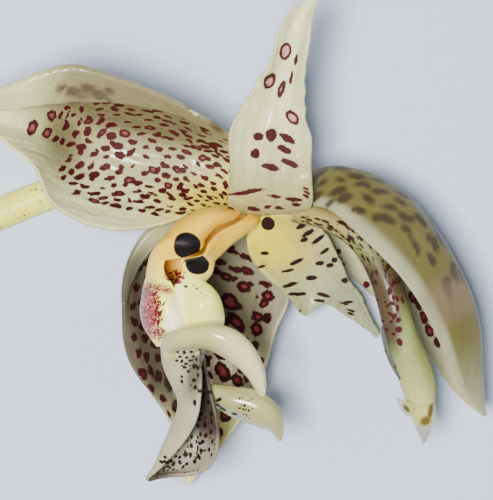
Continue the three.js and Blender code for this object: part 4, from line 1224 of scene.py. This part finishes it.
column = {
    "name": "column", "node": "column",
    "path": [
        [16.5, 7.2, 23], [23.3, 6, 26], [30, 2.6, 28], [35.2, -3.1, 29], [38.6, -11.1, 29],
        [40.9, -19.9, 28], [43.4, -27, 26.5], [44.9, -32.9, 25.5],
    ],
    "width": [2.4, 2.2, 2.4, 2.9, 3.3, 3.4, 3.5, 3.0],
    "depth": [2.6, 2.4, 2.6, 3.2, 4, 4.4, 4, 3.0],
    "grid": (260, 96), "flange": columnWings, "dome": (1.0, 1.0),
    "marks": stampOver([
        (392.8, 284.3, 3, 1.4, 75), (389.7, 291.2, 3.2, 1.8, 80), (388.5, 305, 3, 1.3, 40),
        (393, 303.4, 2.6, 1.3, 150), (397.4, 308, 3, 1.5, 100), (390.5, 314, 3, 1.3, 150),
        (394.5, 316.5, 2.8, 1.5, 60), (398.1, 320.3, 2.4, 1.9, 30), (391.3, 321.8, 2, 1),
        (398.6, 329.5, 2.9, 2.6, 30), (386.4, 329.5, 1.8, 1, 140), (393.6, 334.1, 2.2, 1.4, 170),
        (381.5, 321, 2, 1.1), (399.4, 342, 3.4, 2.3, 110), (397.4, 299, 2.8, 1.4, 100),
        (393.6, 298, 2, 1.2, 90), (385, 302, 1.3, 1.1), (377, 300, 1.6, 1), (377.5, 306, 1.8, 0.9, 160),
        (378, 313, 1.8, 0.9, 160), (402.4, 300, 2.8, 1, 115),
    ], swell=1.3),
    "warm": ease("down", 262, 215),
    "blush": combined(np.maximum, combined(np.multiply, ease("down", 225, 275), ease("down", 330, 290)),
                      blots((386, 310, 15, 42, 8, 0.4))),
    "tint": ease("down", 355, 400),
    "speck": band("down", 214, 290, 8),
    "look": look(field=(0.28, 0.33, 0.11), warm=(0.30, 0.23, 0.07), blush=(0.070, 0.048, 0.022),
                 tint=(0.47, 0.49, 0.17), spot=(0.050, 0.0003, 0.003), speckRate=(0.62, 1.6, 1.0),
                 speckSize=0.58, speckColour=(0.022, 0.006, 0.003), wobble=0.5, softness=0.12, halo=0.1,
                 roughness=0.44, coat=0.12),
}
growTube(column)

columnWing = {
    "name": "columnWing", "node": "column",
    "left": [
        [36.6, -16.9, 28.8], [36.7, -19.2, 28.8], [37.4, -22.2, 28.6], [38.6, -25.2, 28.4], [40.3, -28, 28.2],
    ],
    "middle": [
        [37.3, -16.8, 29], [37.9, -19.1, 29.3], [38.7, -22, 29.2], [39.6, -25, 29], [40.8, -27.9, 28.5],
    ],
    "right": [
        [38.1, -16.7, 29.2], [39.2, -19, 29.6], [40, -21.8, 29.6], [40.7, -24.9, 29.4], [41.4, -27.8, 28.8],
    ],
    "fullness": 2.0, "thickness": (0.5, 0.8), "grid": (120, 50), "seed": 91,
    "wave": (0.1, 4),
    "marks": stampOver([
        (381.5, 340, 2, 1, 110), (386, 351, 2.2, 1.1, 110), (396, 366, 2.4, 1.2, 100),
    ]),
    "look": look(field=(0.09, 0.105, 0.09), outside=(0.09, 0.105, 0.09), outsideTip=(0.09, 0.105, 0.09),
                 spot=(0.02, 0.008, 0.006), ghost=0.0, outerMarks=1.0, wobble=0.3, coat=0.4),
}
growBlade(columnWing)

columnTooth = {
    "name": "columnTooth", "node": "column",
    "path": [[42.6, -34.4, 28], [41.4, -33.6, 29.3], [40.3, -32.7, 30.3], [39.3, -31.7, 31]],
    "width": [1.7, 1.2, 0.7, 0.12], "depth": [0.9, 0.6, 0.35, 0.1],
    "grid": (60, 36), "dome": (0.4, 0.1), "marks": noMarks,
    "warm": combined(np.add, ease("right", 408, 397), blots((404, 409, 3, 6, 45, 0.5))),
    "blush": blots((406.5, 408.5, 2.2, 5, 40, 0.5)),
    "look": look(field=(0.50, 0.50, 0.18), warm=(0.45, 0.46, 0.42), blush=(0.12, 0.085, 0.02),
                 roughness=0.2, coat=0.6),
}
growTube(columnTooth)

antherCap = {
    "name": "antherCap", "node": "anther_cap",
    "path": [[45, -33.3, 25.4], [45.3, -35.8, 25.1], [45.5, -38.8, 24.8], [45.5, -41.3, 24.6]],
    "width": [2.9, 2.5, 1.5, 0.35], "depth": [2.6, 2.4, 1.6, 0.5],
    "grid": (90, 64), "dome": (0.8, 0.4), "marks": noMarks,
    "warm": ease("down", 423, 430),
    "blush": blots((430.5, 411, 2.6, 10, -10, 0.5), (425.5, 421, 6, 4.5, 30, 0.5)),
    "look": look(field=(0.50, 0.50, 0.16), warm=(0.36, 0.36, 0.35), blush=(0.12, 0.085, 0.02),
                 roughness=0.2, coat=0.6, subsurface=0.3),
}
growTube(antherCap)

# floor, lights and camera

floorForm = {
    "half": 3.0,   # m
    "colour": (0.56, 0.64, 0.82), "paler": 1.06, "mottling": (9.0, 3.0, 0.5),
    "finish": {"Roughness": 0.9, "Specular IOR Level": 0.1},
}
worldForm = {"Color": (0.70, 0.75, 0.82), "Strength": 0.14}
lightAim = (0.0, 0.0, 0.02)   # m, the middle of the flower
lights = {
    "key": {"energy": 14.5, "size": 0.18, "place": (-0.09, -0.04, 0.80), "color": (1.0, 0.985, 0.93)},
    "fill": {"energy": 2.6, "size": 0.9, "place": (0.6, 0.45, 0.42), "color": (0.92, 0.96, 1.0)},
}


def makeFloor():
    # a square on the resting plane, plain with a faint mottling
    h = floorForm["half"]
    mesh = bpy.data.meshes.new("floor")
    mesh.from_pydata([(-h, -h, 0), (h, -h, 0), (h, h, 0), (-h, h, 0)], [], [(0, 1, 2, 3)])
    floor = bpy.data.objects.new("floor", mesh)
    bpy.context.scene.collection.objects.link(floor)
    material = bpy.data.materials.new("floorPaper")
    material.use_nodes = True
    tree = material.node_tree
    place = addNode(tree, "ShaderNodeTexCoord").outputs["Object"]
    pale = tuple(min(v * floorForm["paler"], 1) for v in floorForm["colour"])
    colour = mixColour(tree, noise(tree, place, *floorForm["mottling"]), floorForm["colour"], pale)
    for key, value in {"Base Color": colour, **floorForm["finish"]}.items():
        feed(tree, tree.nodes["Principled BSDF"].inputs[key], value)
    mesh.materials.append(material)


def addLight(name, energy, size, place, color):
    # a square area light turned to the aim: tilted by the angle from straight down, then
    # turned about the vertical
    lamp = bpy.data.lights.new(name, "AREA")
    lamp.energy, lamp.size, lamp.color = energy, size, color
    obj = bpy.data.objects.new(name, lamp)
    away = np.array(place) - lightAim
    obj.location = place
    obj.rotation_euler = (math.acos(away[2] / np.linalg.norm(away)), 0,
                          math.atan2(away[1], away[0]) + math.pi / 2)
    bpy.context.scene.collection.objects.link(obj)


def makeCamera():
    # straight down; the lens is the sensor times the distance to the sharp level, divided by
    # the width that the frame takes in there
    camera = bpy.data.cameras.new("camera")
    camera.sensor_fit = "HORIZONTAL"
    camera.sensor_width = view["sensor"]
    wide = view["framePixels"][0] * view["pixel"]
    camera.lens = view["sensor"] * (view["height"] - view["sharpLevel"]) / wide
    camera.clip_start, camera.clip_end = view["clip"]
    obj = bpy.data.objects.new("camera", camera)
    obj.location = (view["centre"][0] * mm, view["centre"][1] * mm, view["height"] * mm)
    bpy.context.scene.collection.objects.link(obj)
    bpy.context.scene.camera = obj


makeFloor()
for name, lamp in lights.items():
    addLight(name, **lamp)
makeCamera()
world = bpy.data.worlds.new("studioWorld")
world.use_nodes = True
for key, value in worldForm.items():
    feed(world.node_tree, world.node_tree.nodes["Background"].inputs[key], value)
bpy.context.scene.world = world
print("stage ready")
